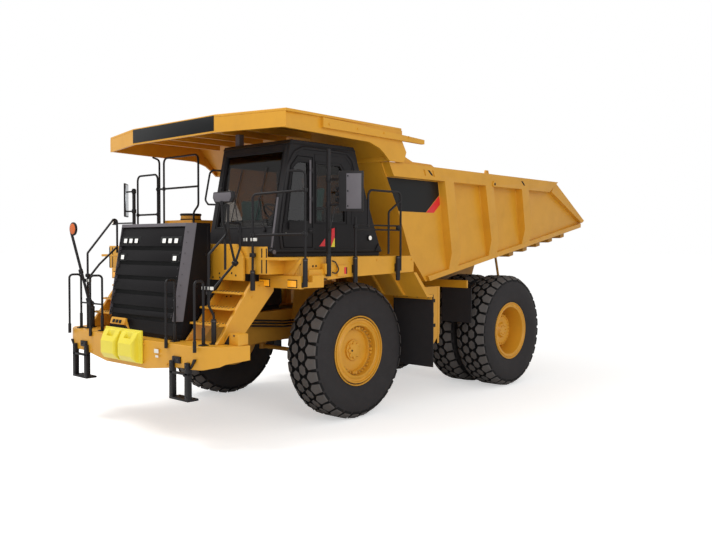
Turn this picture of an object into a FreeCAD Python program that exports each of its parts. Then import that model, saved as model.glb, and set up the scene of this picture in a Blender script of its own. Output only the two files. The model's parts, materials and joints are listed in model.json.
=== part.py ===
import FreeCAD, Part

import math
import os

# Rigid off-highway dump truck.  Millimetres, +X forward, +Y to the truck's left, +Z up.
# The origin is on the ground, on the centre plane, half way along the truck.
# Lengths quoted "fore" are measured forward from the rear axle.

# ---------------------------------------------------------------- driving dimensions
WHEELBASE = 4190.0
REAR_AXLE_X = -2205.0
RUN_GAP = 6.0                    # clearance between pieces that move past each other
FIT_GAP = 1.0                    # gap between pieces that sit side by side
BORE_PLAY = 0.08                 # radial play of a pin or rod in its bore

# tyres and rims
TYRE_RADIUS = 1073.0
TYRE_WIDTH = 650.0
TREAD_WIDTH = 560.0
LUG_COUNT = 32
LUG_DEPTH = 55.0
LUG_SHARE = 0.75                 # of the tread's pitch
LUG_DRAFT = 8.0
RIM_FLANGE_RADIUS = 552.0
RIM_SEAT_RADIUS = 505.0
RIM_WIDTH = 500.0
RIM_WALL = 35.0
FRONT_WHEEL_Y = 1564.0
REAR_PAIR_Y = 1385.0
DUAL_SPACING = 740.0

# front suspension and steering
KINGPIN_Y = 1080.0
STRUT_RADIUS = 110.0
STRUT_ROD_RADIUS = 82.0
STRUT_BOTTOM = 1370.0
STRUT_TOP = 2190.0
SPINDLE_RADIUS = 105.0
HUB_RADIUS = 240.0
STEER_ARM = 420.0
TIE_ROD_RADIUS = 38.0

# chassis
RAIL_OUTER_Y = 470.0
RAIL_WIDTH = 140.0
RAIL_BOTTOM = 1170.0
RAIL_TOP = 1650.0
RAIL_NOSE = 6950.0               # fore
HANGER_PLATE = 40.0
REAR_RAIL_TOP = 1850.0
REAR_RAIL_BOTTOM = 1480.0
AXLE_TUBE_RADIUS = 250.0
AXLE_BOWL_RADIUS = 390.0
REAR_STRUT_Y = 230.0
STRUT_FOOT_FORE = -380.0
STRUT_HEAD_FORE = -430.0
STRUT_HEAD_Z = 1600.0
STRUT_TUBE_RADIUS = 80.0
TOW_LUG_FORE = -930.0
TOW_LUG_Z = 1570.0
TOW_LUG_PLATE = 60.0
TOW_PIN_RADIUS = 35.0

# heights that the rest hangs on
CANOPY_TOP = 4590.0

# deck
DECK_TOP = 2570.0
DECK_PLATE = 40.0
DECK_HALF_WIDTH = 2300.0
DECK_FRONT = 5800.0              # fore
DECK_REAR = 3400.0               # fore
DECK_FASCIA = 300.0
APRON_FACE = DECK_FRONT + 140    # fore
GUARD_FRAME_FORE = 5600.0        # fore
FASCIA_PLATE = 60.0
LAMP_BOX_INNER_Y = 1560.0
LAMP_BOX_OUTER_Y = DECK_HALF_WIDTH + 120
LAMP_BOX_FACE = 6000.0           # fore
LAMP_BOX_BOTTOM = 2150.0
LAMP_BOX_TOP = 2230.0
RAIL_STANDOFF = 50.0
FLAP_FORE = 2885.0               # fore, behind the reach of the steered front tyre
HANDRAIL_RADIUS = 17.0
SLEEVE_RADIUS = 34.0
STAIR_RAIL_Y = 1600.0

# radiator guard
GUARD_HALF_WIDTH = 945.0
TRIM_SETBACK = 100.0             # the trim strips sweep back to the cheeks
GRILLE_HALF_WIDTH = 840.0
GUARD_TOP = 3050.0
GUARD_BOTTOM = 1410.0
GUARD_FACE_TOP = 6730.0          # fore
GUARD_FACE_BOTTOM = 6970.0       # fore
GUARD_REAR = 6390.0              # fore
GRILLE_BOTTOM = 1640.0
SLAT_COUNT = 6

# bumper
BUMPER_TOP = 1400.0
BUMPER_BOTTOM = 1000.0
BUMPER_FACE = 7210.0             # fore
BUMPER_HALF_WIDTH = 2030.0
BUMPER_END_BOTTOM = 1090.0
TOW_BLOCK_FACE = 7370.0          # fore
STEP_FACE = BUMPER_FACE - 40     # fore, flat beside the hung steps
STEP_Y = 1110.0
STEP_WIDTH = 430.0

# cab
CAB_LEFT_Y = 1950.0
CAB_RIGHT_Y = 450.0
CAB_FLOOR = 2630.0
CAB_WALL = 60.0
CAB_ROOF = CANOPY_TOP - 380
CAB_FRONT_FOOT = 6080.0          # fore
CAB_FRONT_HEAD = 5760.0          # fore
CAB_REAR_HEAD = 4420.0           # fore
CAB_REAR_FOOT = 3800.0           # fore
DOOR_REAR = 5320.0               # fore, the hinge edge
DOOR_FRONT = 5930.0              # fore
DOOR_BOTTOM = 2700.0
DOOR_TOP = CAB_ROOF - 200
GLASS = 12.0
WINDOW_SILL = 3090.0
SCREEN_SILL = 3000.0
BACK_WINDOW_SILL = 3250.0
HINGE_RADIUS = 15.0
HINGE_LENGTH = 90.0

# dump body
PIVOT_FORE = -720.0
PIVOT_Z = 1750.0
PIVOT_PIN_RADIUS = 55.0
PIVOT_TAIL = 110.0               # frame rail behind the pivot
BODY_HALF_WIDTH = 2000.0         # outside of the side sheets
BODY_SHEET = 40.0
FLOOR_SHEET = 60.0
FLOOR_FRONT = 2700.0             # fore
FLOOR_FRONT_Z = 2120.0           # underside of the floor at its front edge
TAIL_BOTTOM = -2880.0            # fore
TAIL_BOTTOM_Z = 3140.0
TAIL_TIP = -2960.0               # fore
TAIL_TIP_Z = 3280.0
TAIL_TOP = -1650.0               # fore
RAIL_CAP_TOP = CANOPY_TOP - 540
RAIL_CAP_BOTTOM = RAIL_CAP_TOP - 220
RAIL_CAP_HALF_WIDTH = 2150.0
RIB_HALF_WIDTH = 2150.0
RIB_WIDTH = 260.0
BODY_BEAM_Y = 400.0
BODY_BEAM_WIDTH = 120.0
BODY_PAD = 30.0                  # gap filled by rubber between body beams and chassis
CANOPY_SHEET = 40.0
CANOPY_FASCIA = 255.0
CANOPY_FRONT = 6410.0            # fore
CANOPY_CORNER = 6120.0           # fore
CANOPY_NOSE_HALF = 1060.0
CANOPY_HALF_WIDTH = 2250.0
CANOPY_TAPER = 50.0              # how much narrower the canopy is at its rear
CANOPY_REAR = 3600.0             # fore

# hoist cylinders
HOIST_Y = 575.0
HOIST_FOOT_FORE = 1200.0
HOIST_FOOT_Z = 900.0
HOIST_HEAD_FORE = 1700.0
HOIST_HEAD_Z = 2120.0
HOIST_BARREL_RADIUS = 84.0
HOIST_STAGE_RADIUS = 66.0
HOIST_ROD_RADIUS = 46.0
HOIST_PIN_RADIUS = 38.0
HOIST_EYE_WIDTH = 90.0

# ---------------------------------------------------------------- derived values
FRONT_AXLE = WHEELBASE                       # fore
AXLE_Z = TYRE_RADIUS                         # the wheels stand on the ground
BODY_SLOPE = math.atan2(TAIL_BOTTOM_Z - FLOOR_FRONT_Z, FLOOR_FRONT - TAIL_BOTTOM)

os.makedirs("parts", exist_ok=True)


# ---------------------------------------------------------------- helpers
def fore(distance):
    """Row X of a point that lies this far forward of the rear axle."""
    return REAR_AXLE_X + distance


def vec(x, y, z):
    return FreeCAD.Vector(x, y, z)


def box(x0, x1, y0, y1, z0, z1):
    """Box between two fore distances, two Y values and two Z values."""
    return Part.makeBox(x1 - x0, y1 - y0, z1 - z0, vec(fore(x0), y0, z0))


def plate_side(points, y0, y1):
    """Flat outline of (fore, z) points, as thick as y0 to y1."""
    loop = [vec(fore(x), y0, z) for x, z in points]
    return Part.Face(Part.makePolygon(loop + loop[:1])).extrude(vec(0, y1 - y0, 0))


def plate_plan(points, z0, z1):
    """Flat outline of (fore, y) points, as thick as z0 to z1."""
    loop = [vec(fore(x), y, z0) for x, y in points]
    return Part.Face(Part.makePolygon(loop + loop[:1])).extrude(vec(0, 0, z1 - z0))


def plate_front(points, x0, x1):
    """Flat outline of (y, z) points, between two fore distances."""
    loop = [vec(fore(x0), y, z) for y, z in points]
    return Part.Face(Part.makePolygon(loop + loop[:1])).extrude(vec(x1 - x0, 0, 0))


def rod(start, end, radius):
    """Round bar between two (fore, y, z) points."""
    a = vec(fore(start[0]), start[1], start[2])
    b = vec(fore(end[0]), end[1], end[2])
    return Part.makeCylinder(radius, (b - a).Length, a, b - a)


def octagon(centre, direction, radius):
    """Eight-sided wire round a point, square to a direction; its flats lie on the radius."""
    turn = FreeCAD.Rotation(vec(0, 0, 1), direction)
    reach = radius / math.cos(math.pi / 8)
    points = []
    for i in range(8):
        angle = 2 * math.pi * (i + 0.5) / 8
        points.append(centre + turn.multVec(vec(reach * math.cos(angle), reach * math.sin(angle), 0)))
    return Part.makePolygon(points + points[:1])


def tube_bend(points, radius, bend):
    """Eight-sided bar along (fore, y, z) points whose corners are bends of three short runs."""
    path = [vec(fore(x), y, z) for x, y, z in points]
    line = [path[0]]
    for i in range(1, len(path) - 1):
        here = path[i]
        back = (path[i - 1] - here).normalize()
        ahead = (path[i + 1] - here).normalize()
        turn = math.pi - back.getAngle(ahead)
        reach = bend * math.tan(turn / 2)
        centre = here + (back + ahead).normalize() * (bend / math.cos(turn / 2))
        start, stop = here + back * reach - centre, here + ahead * reach - centre
        axis = start.cross(stop)
        for share in (0.0, 1 / 3, 2 / 3, 1.0):
            line.append(centre + FreeCAD.Rotation(axis, math.degrees(turn) * share).multVec(start))
    line.append(path[-1])
    wire = Part.makePolygon(line)
    return wire.makePipeShell([octagon(line[0], line[1] - line[0], radius)], True, False, 1)


def sector_ring(sector, count):
    """Ring about the Y axis from the flat (along, y, radius) faces of its lowest sector."""
    faces = []
    for i in range(count):
        angle = 2 * math.pi * i / count - math.pi / 2
        across, out = math.cos(angle), math.sin(angle)
        for face in sector:
            loop = [vec(r * across - along * out, y, r * out + along * across) for along, y, r in face]
            faces.append(Part.Face(Part.makePolygon(loop + loop[:1])))
    ring = Part.Solid(Part.makeShell(faces))
    if ring.Volume < 0:
        ring.reverse()
    return ring


def sector_bands(outline, count):
    """One sector's faces between the neighbouring points of a (y, radius) outline."""
    slant = math.tan(math.pi / count)
    return [[(-r0 * slant, y0, r0), (-r1 * slant, y1, r1), (r1 * slant, y1, r1), (r0 * slant, y0, r0)]
            for (y0, r0), (y1, r1) in zip(outline, outline[1:])]


def turned(profile, centre_fore, centre_z):
    """Solid of revolution about a wheel's axis: profile is (y, radius) points."""
    loop = [vec(fore(centre_fore) + r, y, centre_z) for y, r in profile]
    face = Part.Face(Part.makePolygon(loop + loop[:1]))
    return face.revolve(vec(fore(centre_fore), 0, centre_z), vec(0, 1, 0), 360)


def fuse(shapes):
    """One solid from overlapping shapes."""
    shapes = list(shapes)
    if len(shapes) == 1:
        return shapes[0]
    return shapes[0].fuse(shapes[1:]).removeSplitter()


def apart(shapes):
    """Several solids that don't touch, kept in one node."""
    solids = []
    for shape in shapes:
        solids.extend(shape.Solids)
    return Part.makeCompound(solids)


def mirrored(shape):
    """The same piece on the truck's other side."""
    return shape.mirror(vec(0, 0, 0), vec(0, 1, 0))


def both_sides(shape):
    """A piece and its mirror image, as two solids of one node."""
    return apart([shape, mirrored(shape)])


def save(node, shape):
    """Write one node to its STEP file."""
    shape.exportStep(os.path.join("parts", node + ".step"))


def save_pair(node, shape):
    """Write a left piece and its mirror image as two nodes."""
    save(node + "_left", shape)
    save(node + "_right", mirrored(shape))


# ---------------------------------------------------------------- wheels
def tyre(centre_fore, centre_y):
    """Tyre of flat faces: each flat of its tread carries one lug with a groove beside it."""
    shoulder, bead = TREAD_WIDTH / 2, RIM_WIDTH / 2
    root = TYRE_RADIUS - LUG_DEPTH
    seat = RIM_SEAT_RADIUS + FIT_GAP
    start = -root * math.tan(math.pi / LUG_COUNT)
    stop = start * (1 - 2 * LUG_SHARE)
    near, far = start + LUG_DRAFT, stop - LUG_DRAFT
    left = [(-bead, seat), (-bead, RIM_FLANGE_RADIUS), (-TYRE_WIDTH / 2, 800.0), (-shoulder, root)]
    right = [(-y, r) for y, r in reversed(left)]
    sector = sector_bands(left, LUG_COUNT) + sector_bands(right + left[:1], LUG_COUNT)
    # the shoulder's edges also pass through the lug's foot
    sector[2].insert(2, (stop, -shoulder, root))
    sector[3].append((stop, shoulder, root))
    tread = [(start, root), (near, TYRE_RADIUS), (far, TYRE_RADIUS), (stop, root), (-start, root)]
    for (u0, r0), (u1, r1) in zip(tread, tread[1:]):
        sector.append([(u0, -shoulder, r0), (u0, shoulder, r0), (u1, shoulder, r1), (u1, -shoulder, r1)])
    sector.append([(start, -shoulder, root), (near, -shoulder, TYRE_RADIUS),
                   (far, -shoulder, TYRE_RADIUS), (stop, -shoulder, root)])
    sector.append([(near, shoulder, TYRE_RADIUS), (start, shoulder, root),
                   (stop, shoulder, root), (far, shoulder, TYRE_RADIUS)])
    carcass = sector_ring(sector, LUG_COUNT)
    carcass.translate(vec(fore(centre_fore), centre_y, AXLE_Z))
    return carcass


def rim_barrel(side, centre_y):
    """(y, radius) outline of a rim's barrel and flanges; side is the outward direction."""
    half = RIM_WIDTH / 2
    lip = half + 30.0
    seat, wall, flange = RIM_SEAT_RADIUS, RIM_WALL, RIM_FLANGE_RADIUS - FIT_GAP
    outline = [(-lip, seat - wall), (-lip, flange), (-half - FIT_GAP, flange), (-half - FIT_GAP, seat),
               (half + FIT_GAP, seat), (half + FIT_GAP, flange), (lip, flange), (lip, seat - wall)]
    return [(centre_y + side * y, r) for y, r in outline]


def front_rim():
    """Front rim: barrel, stepped outer rings, bowl, stud flange, sunk disc and raised hub cap."""
    barrel = turned(rim_barrel(1, FRONT_WHEEL_Y), FRONT_AXLE, AXLE_Z)
    inner = RIM_SEAT_RADIUS - RIM_WALL + 5.0
    out = FRONT_WHEEL_Y + RIM_WIDTH / 2 + 30.0
    dish = [(out - 15, inner), (out - 10, 415), (out - 4, 405), (out - 40, 392),
            (out - 95, 388), (out - 95, 332), (out - 150, 322), (out - 150, 165), (out - 120, 165),
            (out - 120, 138), (out - 95, 130), (out - 95, 0), (out - 180, 0), (out - 180, HUB_RADIUS + 60),
            (out - 150, 400), (out - 150, inner)]
    return barrel.fuse(turned(dish, FRONT_AXLE, AXLE_Z)).removeSplitter()


def front_hub():
    """Hub between the spindle's end and the rim's disc."""
    inner_face = FRONT_WHEEL_Y - 200.0
    outer_face = FRONT_WHEEL_Y + RIM_WIDTH / 2 - 150.0
    bore = SPINDLE_RADIUS + RUN_GAP
    bore_end = FRONT_WHEEL_Y + 30.0
    profile = [(inner_face, bore), (inner_face, HUB_RADIUS), (outer_face, HUB_RADIUS),
               (outer_face, 0), (bore_end, 0), (bore_end, bore)]
    return turned(profile, FRONT_AXLE, AXLE_Z)


def rear_rims():
    """Twin rims on one side, joined by the spacer band between them."""
    outer_y = REAR_PAIR_Y + DUAL_SPACING / 2
    inner_y = REAR_PAIR_Y - DUAL_SPACING / 2
    pieces = [turned(rim_barrel(1, y), 0, AXLE_Z) for y in (outer_y, inner_y)]
    inner = RIM_SEAT_RADIUS - RIM_WALL
    band = [(inner_y, inner - 40), (inner_y, inner + 5), (outer_y, inner + 5), (outer_y, inner - 40)]
    return fuse(pieces + [turned(band, 0, AXLE_Z)])


def rear_hub():
    """Final drive housing that carries the twin rims."""
    outer_y = REAR_PAIR_Y + DUAL_SPACING / 2
    face = outer_y + 60.0
    back = REAR_PAIR_Y - DUAL_SPACING / 2 - 150.0
    bore = AXLE_TUBE_RADIUS + RUN_GAP
    seat = RIM_SEAT_RADIUS - RIM_WALL - 40.0
    profile = [(back, bore), (back, seat - 60), (outer_y - 120, seat - 60), (outer_y - 120, seat),
               (outer_y - 60, seat), (outer_y - 60, 330), (face, 300), (face, 150), (face + 40, 130),
               (face + 40, 0), (face - 80, 0), (face - 80, bore)]
    return turned(profile, 0, AXLE_Z)


for side, name in ((1, "left"), (-1, "right")):
    def placed(shape):
        return shape if side > 0 else mirrored(shape)

    save("front_tyre_" + name, placed(tyre(FRONT_AXLE, FRONT_WHEEL_Y)))
    save("front_rim_" + name, placed(front_rim().fuse(front_hub())))
    twins = [tyre(0, REAR_PAIR_Y - DUAL_SPACING / 2), tyre(0, REAR_PAIR_Y + DUAL_SPACING / 2)]
    save("rear_tyres_" + name, placed(apart(twins)))
    save("rear_rims_" + name, placed(rear_rims().fuse(rear_hub())))


# ---------------------------------------------------------------- chassis
def frame_rail():
    """Left box rail: it steps up over the rear axle and ends in the dump body's pivot boss."""
    inner = RAIL_OUTER_Y - RAIL_WIDTH
    tail = PIVOT_FORE - PIVOT_TAIL
    boss = PIVOT_TAIL - 60
    side = [(RAIL_NOSE, 1060), (RAIL_NOSE, 1340), (5300, RAIL_TOP), (1900, RAIL_TOP + 60),
            (900, REAR_RAIL_TOP), (PIVOT_FORE - boss, REAR_RAIL_TOP), (tail, PIVOT_Z + boss),
            (tail, PIVOT_Z - boss), (PIVOT_FORE - boss, PIVOT_Z - 110), (PIVOT_FORE + 300, REAR_RAIL_BOTTOM),
            (700, REAR_RAIL_BOTTOM), (1350, RAIL_BOTTOM), (5000, RAIL_BOTTOM), (6200, 1060)]
    return plate_side(side, inner, RAIL_OUTER_Y)


def frame_rails():
    """Both box rails, each with its hoist hanger, the hoist's lower pin and the bore of the body's pivot."""
    rail = frame_rail()
    hanger = [(HOIST_FOOT_FORE - 150, RAIL_TOP - 60), (HOIST_FOOT_FORE + 260, RAIL_TOP - 60),
              (HOIST_FOOT_FORE + 90, HOIST_FOOT_Z - 80), (HOIST_FOOT_FORE - 90, HOIST_FOOT_Z - 80)]
    plate = plate_side(hanger, RAIL_OUTER_Y - HANGER_PLATE, RAIL_OUTER_Y)
    pin = rod((HOIST_FOOT_FORE, RAIL_OUTER_Y - HANGER_PLATE, HOIST_FOOT_Z),
              (HOIST_FOOT_FORE, HOIST_Y + HOIST_EYE_WIDTH / 2 + 20, HOIST_FOOT_Z), HOIST_PIN_RADIUS)
    bore = rod((PIVOT_FORE, 0, PIVOT_Z), (PIVOT_FORE, RAIL_OUTER_Y + 50, PIVOT_Z),
               PIVOT_PIN_RADIUS + BORE_PLAY)
    return both_sides(fuse([rail, plate, pin]).cut(bore))


def crossmembers():
    """Nose beam, engine beam and two tubes that join the rails' inner faces."""
    inner = RAIL_OUTER_Y - RAIL_WIDTH
    nose = box(6700, RAIL_NOSE, -inner, inner, 1080, 1360)
    engine_beam = box(FRONT_AXLE - 150, FRONT_AXLE + 150, -inner, inner, RAIL_BOTTOM, RAIL_BOTTOM + 60)
    tubes = [rod((x, -inner, z), (x, inner, z), radius)
             for x, z, radius in ((1900, 1430, 150), (300, 1690, 120))]
    return apart([nose, engine_beam] + tubes)


def strut_arms():
    """Arms outside the rails that clamp the front struts."""
    outline = [(FRONT_AXLE - 190, STRUT_BOTTOM + 20), (FRONT_AXLE + 190, STRUT_BOTTOM + 20),
               (FRONT_AXLE + 110, 2130), (FRONT_AXLE - 110, 2130)]
    arm = plate_side(outline, RAIL_OUTER_Y, KINGPIN_Y - 40)
    return both_sides(arm.cut(rod((FRONT_AXLE, KINGPIN_Y, RAIL_BOTTOM), (FRONT_AXLE, KINGPIN_Y, 2300),
                                  STRUT_RADIUS + FIT_GAP)))


def rear_crossmember():
    """Tube that carries the rear struts' heads, with the tow lug and its upright pin bore."""
    inner = RAIL_OUTER_Y - RAIL_WIDTH
    lug_top = TOW_LUG_Z + TOW_LUG_PLATE
    tube = rod((STRUT_HEAD_FORE, -inner, STRUT_HEAD_Z), (STRUT_HEAD_FORE, inner, STRUT_HEAD_Z),
               STRUT_TUBE_RADIUS)
    lug = plate_plan([(STRUT_HEAD_FORE, -130), (STRUT_HEAD_FORE, 130), (TOW_LUG_FORE, 90),
                      (TOW_LUG_FORE - 90, 40), (TOW_LUG_FORE - 90, -40), (TOW_LUG_FORE, -90)],
                     TOW_LUG_Z, lug_top)
    bore = rod((TOW_LUG_FORE, 0, TOW_LUG_Z - 5), (TOW_LUG_FORE, 0, lug_top + 5), TOW_PIN_RADIUS)
    return fuse([tube, lug]).cut(bore)


def front_strut():
    """Suspension cylinder that is fixed to its frame arm and takes the knuckle's rod."""
    barrel = rod((FRONT_AXLE, KINGPIN_Y, STRUT_BOTTOM), (FRONT_AXLE, KINGPIN_Y, STRUT_TOP), STRUT_RADIUS)
    bore = rod((FRONT_AXLE, KINGPIN_Y, STRUT_BOTTOM - 1), (FRONT_AXLE, KINGPIN_Y, STRUT_TOP - 160),
               STRUT_ROD_RADIUS + BORE_PLAY)
    return barrel.cut(bore)


def steering_knuckle():
    """Strut rod, spindle and steering arm of the left front wheel."""
    foot = rod((FRONT_AXLE, KINGPIN_Y, AXLE_Z - 170), (FRONT_AXLE, KINGPIN_Y, STRUT_BOTTOM - 20),
               STRUT_RADIUS + 20)
    ram = rod((FRONT_AXLE, KINGPIN_Y, STRUT_BOTTOM - 40), (FRONT_AXLE, KINGPIN_Y, STRUT_TOP - 260),
              STRUT_ROD_RADIUS)
    spindle = rod((FRONT_AXLE, KINGPIN_Y, AXLE_Z), (FRONT_AXLE, FRONT_WHEEL_Y + 20, AXLE_Z), SPINDLE_RADIUS)
    tip = FRONT_AXLE - STEER_ARM
    arm = plate_plan([(FRONT_AXLE + 60, KINGPIN_Y - 90), (FRONT_AXLE + 60, KINGPIN_Y + 90),
                      (tip - 60, KINGPIN_Y - 50), (tip - 60, KINGPIN_Y - 170), (tip, KINGPIN_Y - 190)],
                     AXLE_Z - 160, AXLE_Z - 80)
    return fuse([foot, ram, spindle, arm])


def tie_rod():
    """Bar below the steering arms, with an eye at each end."""
    eye_y = KINGPIN_Y - 110
    z = AXLE_Z - 160 - RUN_GAP - 45
    x = FRONT_AXLE - STEER_ARM
    pieces = [rod((x, -eye_y, z), (x, eye_y, z), TIE_ROD_RADIUS)]
    for y in (eye_y, -eye_y):
        pieces.append(rod((x, y, z - 45), (x, y, z + 45), 62))
    return fuse(pieces)


def rear_axle():
    """Axle housing with its bowl, the pulling arm to the frame and the suspension's lower eyes."""
    reach = REAR_PAIR_Y + DUAL_SPACING / 2 - 60
    pieces = [rod((0, -reach, AXLE_Z), (0, reach, AXLE_Z), AXLE_TUBE_RADIUS)]
    bowl = Part.makeSphere(AXLE_BOWL_RADIUS, vec(fore(0), 0, AXLE_Z))
    pieces.append(bowl)
    arm = [(100, 330), (1500, 90), (1700, 90), (1700, -90), (1500, -90), (100, -330)]
    pieces.append(plate_plan(arm, AXLE_Z - 110, AXLE_Z + 90))
    pieces.append(rod((1700, -120, AXLE_Z - 10), (1700, 120, AXLE_Z - 10), 110))
    ear = box(STRUT_FOOT_FORE - 90, -150, REAR_STRUT_Y - 60, REAR_STRUT_Y + 60, AXLE_Z - 40, AXLE_Z + 100)
    pieces += [ear, mirrored(ear)]
    return fuse(pieces)


def rear_struts():
    """Two suspension cylinders between the frame's tail and the axle housing."""
    foot = (STRUT_FOOT_FORE, REAR_STRUT_Y, AXLE_Z + 100 + FIT_GAP)
    head = (STRUT_HEAD_FORE, REAR_STRUT_Y, STRUT_HEAD_Z - STRUT_TUBE_RADIUS - FIT_GAP)
    middle = tuple((a + b) / 2 for a, b in zip(foot, head))
    tube_space = rod((STRUT_HEAD_FORE, 0, STRUT_HEAD_Z), (STRUT_HEAD_FORE, 400, STRUT_HEAD_Z),
                     STRUT_TUBE_RADIUS + FIT_GAP)
    ear_space = box(-600, 0, 0, 400, AXLE_Z - 100, AXLE_Z + 100 + FIT_GAP)
    return fuse([rod(foot, head, 50), rod(middle, head, 78)]).cut(tube_space).cut(ear_space)


def engine_block():
    """Engine and gearbox as one plain block between the rails."""
    inner = RAIL_OUTER_Y - RAIL_WIDTH - 20
    upper = box(4500, 6300, -350, 350, RAIL_TOP + 80, 2450)
    lower = box(4500, 6300, -inner, inner, RAIL_BOTTOM + 90, RAIL_TOP + 100)
    gearbox = box(2400, 4200, -inner, inner, RAIL_BOTTOM + 60, RAIL_TOP)
    return apart([fuse([upper, lower]), gearbox])


def side_tank():
    """Side tank ahead of the rear wheels, with rounded lower corners."""
    side = plate_side([(2150, 1180), (2150, 2020), (2780, 2020), (2780, 1010), (2330, 1010)],
                      RAIL_OUTER_Y + 130 + HOIST_BARREL_RADIUS, 1900)
    stay = box(2250, 2650, RAIL_OUTER_Y, RAIL_OUTER_Y + 140 + HOIST_BARREL_RADIUS, 1500, 1620)
    return fuse([side, stay])


save("frame_rails", frame_rails())
save("crossmembers", crossmembers())
save("strut_arms", strut_arms())
save("rear_crossmember", rear_crossmember())
save("front_struts", both_sides(front_strut()))
save_pair("steering_knuckle", steering_knuckle())
save("tie_rod", tie_rod())
save("rear_axle_housing", rear_axle())
save("rear_struts", both_sides(rear_struts()))
save("engine_block", engine_block())
save("side_tanks", both_sides(side_tank()))


# ---------------------------------------------------------------- nose, bumper and stairs
def guard_line(z, setback=0.0):
    """Fore distance of the leaning grille face at height z."""
    share = (z - GUARD_BOTTOM - 210) / (GUARD_TOP - 30 - GUARD_BOTTOM - 210)
    return GUARD_FACE_BOTTOM + (GUARD_FACE_TOP - GUARD_FACE_BOTTOM) * share - setback


def radiator_guard():
    """Sides, top and chin of the nose, open at the back and behind the grille."""
    side = [(GUARD_REAR + 180, GUARD_BOTTOM), (guard_line(GUARD_BOTTOM, TRIM_SETBACK), GUARD_BOTTOM),
            (guard_line(GUARD_TOP, TRIM_SETBACK), GUARD_TOP), (GUARD_REAR, GUARD_TOP), (GUARD_REAR, 2300)]
    cheek = plate_side(side, GUARD_HALF_WIDTH - 60, GUARD_HALF_WIDTH)
    top = box(GUARD_REAR, guard_line(GUARD_TOP, TRIM_SETBACK), -GUARD_HALF_WIDTH, GUARD_HALF_WIDTH,
              GUARD_TOP - 60, GUARD_TOP)
    sill = plate_plan([(GUARD_REAR + 250, GUARD_HALF_WIDTH),
                       (guard_line(GUARD_BOTTOM, TRIM_SETBACK), GUARD_HALF_WIDTH),
                       (guard_line(GUARD_BOTTOM, 30), GRILLE_HALF_WIDTH),
                       (guard_line(GUARD_BOTTOM, 30), -GRILLE_HALF_WIDTH),
                       (guard_line(GUARD_BOTTOM, TRIM_SETBACK), -GUARD_HALF_WIDTH),
                       (GUARD_REAR + 250, -GUARD_HALF_WIDTH)], GUARD_BOTTOM, GUARD_BOTTOM + 60)
    chin_top = GRILLE_BOTTOM - FIT_GAP
    chin = plate_side([(guard_line(GUARD_BOTTOM, 60), GUARD_BOTTOM + 20),
                       (guard_line(GUARD_BOTTOM, 30), GUARD_BOTTOM + 20),
                       (guard_line(chin_top, 20), chin_top), (guard_line(chin_top, 60), chin_top)],
                      -GRILLE_HALF_WIDTH, GRILLE_HALF_WIDTH)
    core_half = GUARD_HALF_WIDTH - 30
    core = box(GUARD_REAR + 60, GUARD_REAR + 160, -core_half, core_half, 1900, GUARD_TOP - 30)
    lower_core = box(GUARD_REAR + 200, GUARD_REAR + 300, -core_half, core_half, GUARD_BOTTOM + 30, 2000)
    link = box(GUARD_REAR + 60, GUARD_REAR + 300, -core_half, core_half, 1900, 2000)
    return fuse([cheek, mirrored(cheek), top, sill, chin, core, lower_core, link])


def leaning(plan, z0, z1):
    """Outline of (setback, y) points, carried up the grille's lean from z0 to z1."""
    loop = [vec(fore(guard_line(z0, setback)), y, z0) for setback, y in plan]
    lean = guard_line(z1) - guard_line(z0)
    return Part.Face(Part.makePolygon(loop + loop[:1])).extrude(vec(lean, 0, z1 - z0))


def grille_trim():
    """Light strips that sweep back from the grille to the cheeks, under one top edge."""
    inner, back = GRILLE_HALF_WIDTH + FIT_GAP, TRIM_SETBACK - FIT_GAP
    strip = leaning([(-20, inner), (back, GUARD_HALF_WIDTH), (back, GUARD_HALF_WIDTH - 45), (45, inner)],
                    GRILLE_BOTTOM + 20, GUARD_TOP)
    top = leaning([(-20, inner), (back, GUARD_HALF_WIDTH), (back, -GUARD_HALF_WIDTH), (-20, -inner)],
                  GUARD_TOP - 50, GUARD_TOP)
    return fuse([strip, mirrored(strip), top])


def grille():
    """Louvred grille: slats that lean outwards at their lower edge, on two side stiles."""
    low, high = GRILLE_BOTTOM, GUARD_TOP - 50 - FIT_GAP
    pitch = (high - low) / SLAT_COUNT
    pieces = []
    for i in range(SLAT_COUNT):
        z0 = low + pitch * i
        z1 = z0 + pitch
        pieces.append(plate_side([(guard_line(z0 + 45, 55), z0 + 45), (guard_line(z0 + 45, -12), z0 + 45),
                                  (guard_line(z0 + 75, -12), z0 + 75), (guard_line(z1, 14), z1),
                                  (guard_line(z1, 55), z1)], -GRILLE_HALF_WIDTH, GRILLE_HALF_WIDTH))
    back = plate_side([(guard_line(low, 58), low), (guard_line(low, 30), low), (guard_line(high, 30), high),
                       (guard_line(high, 58), high)], -GRILLE_HALF_WIDTH, GRILLE_HALF_WIDTH)
    pieces.append(back)
    return fuse(pieces)


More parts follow.
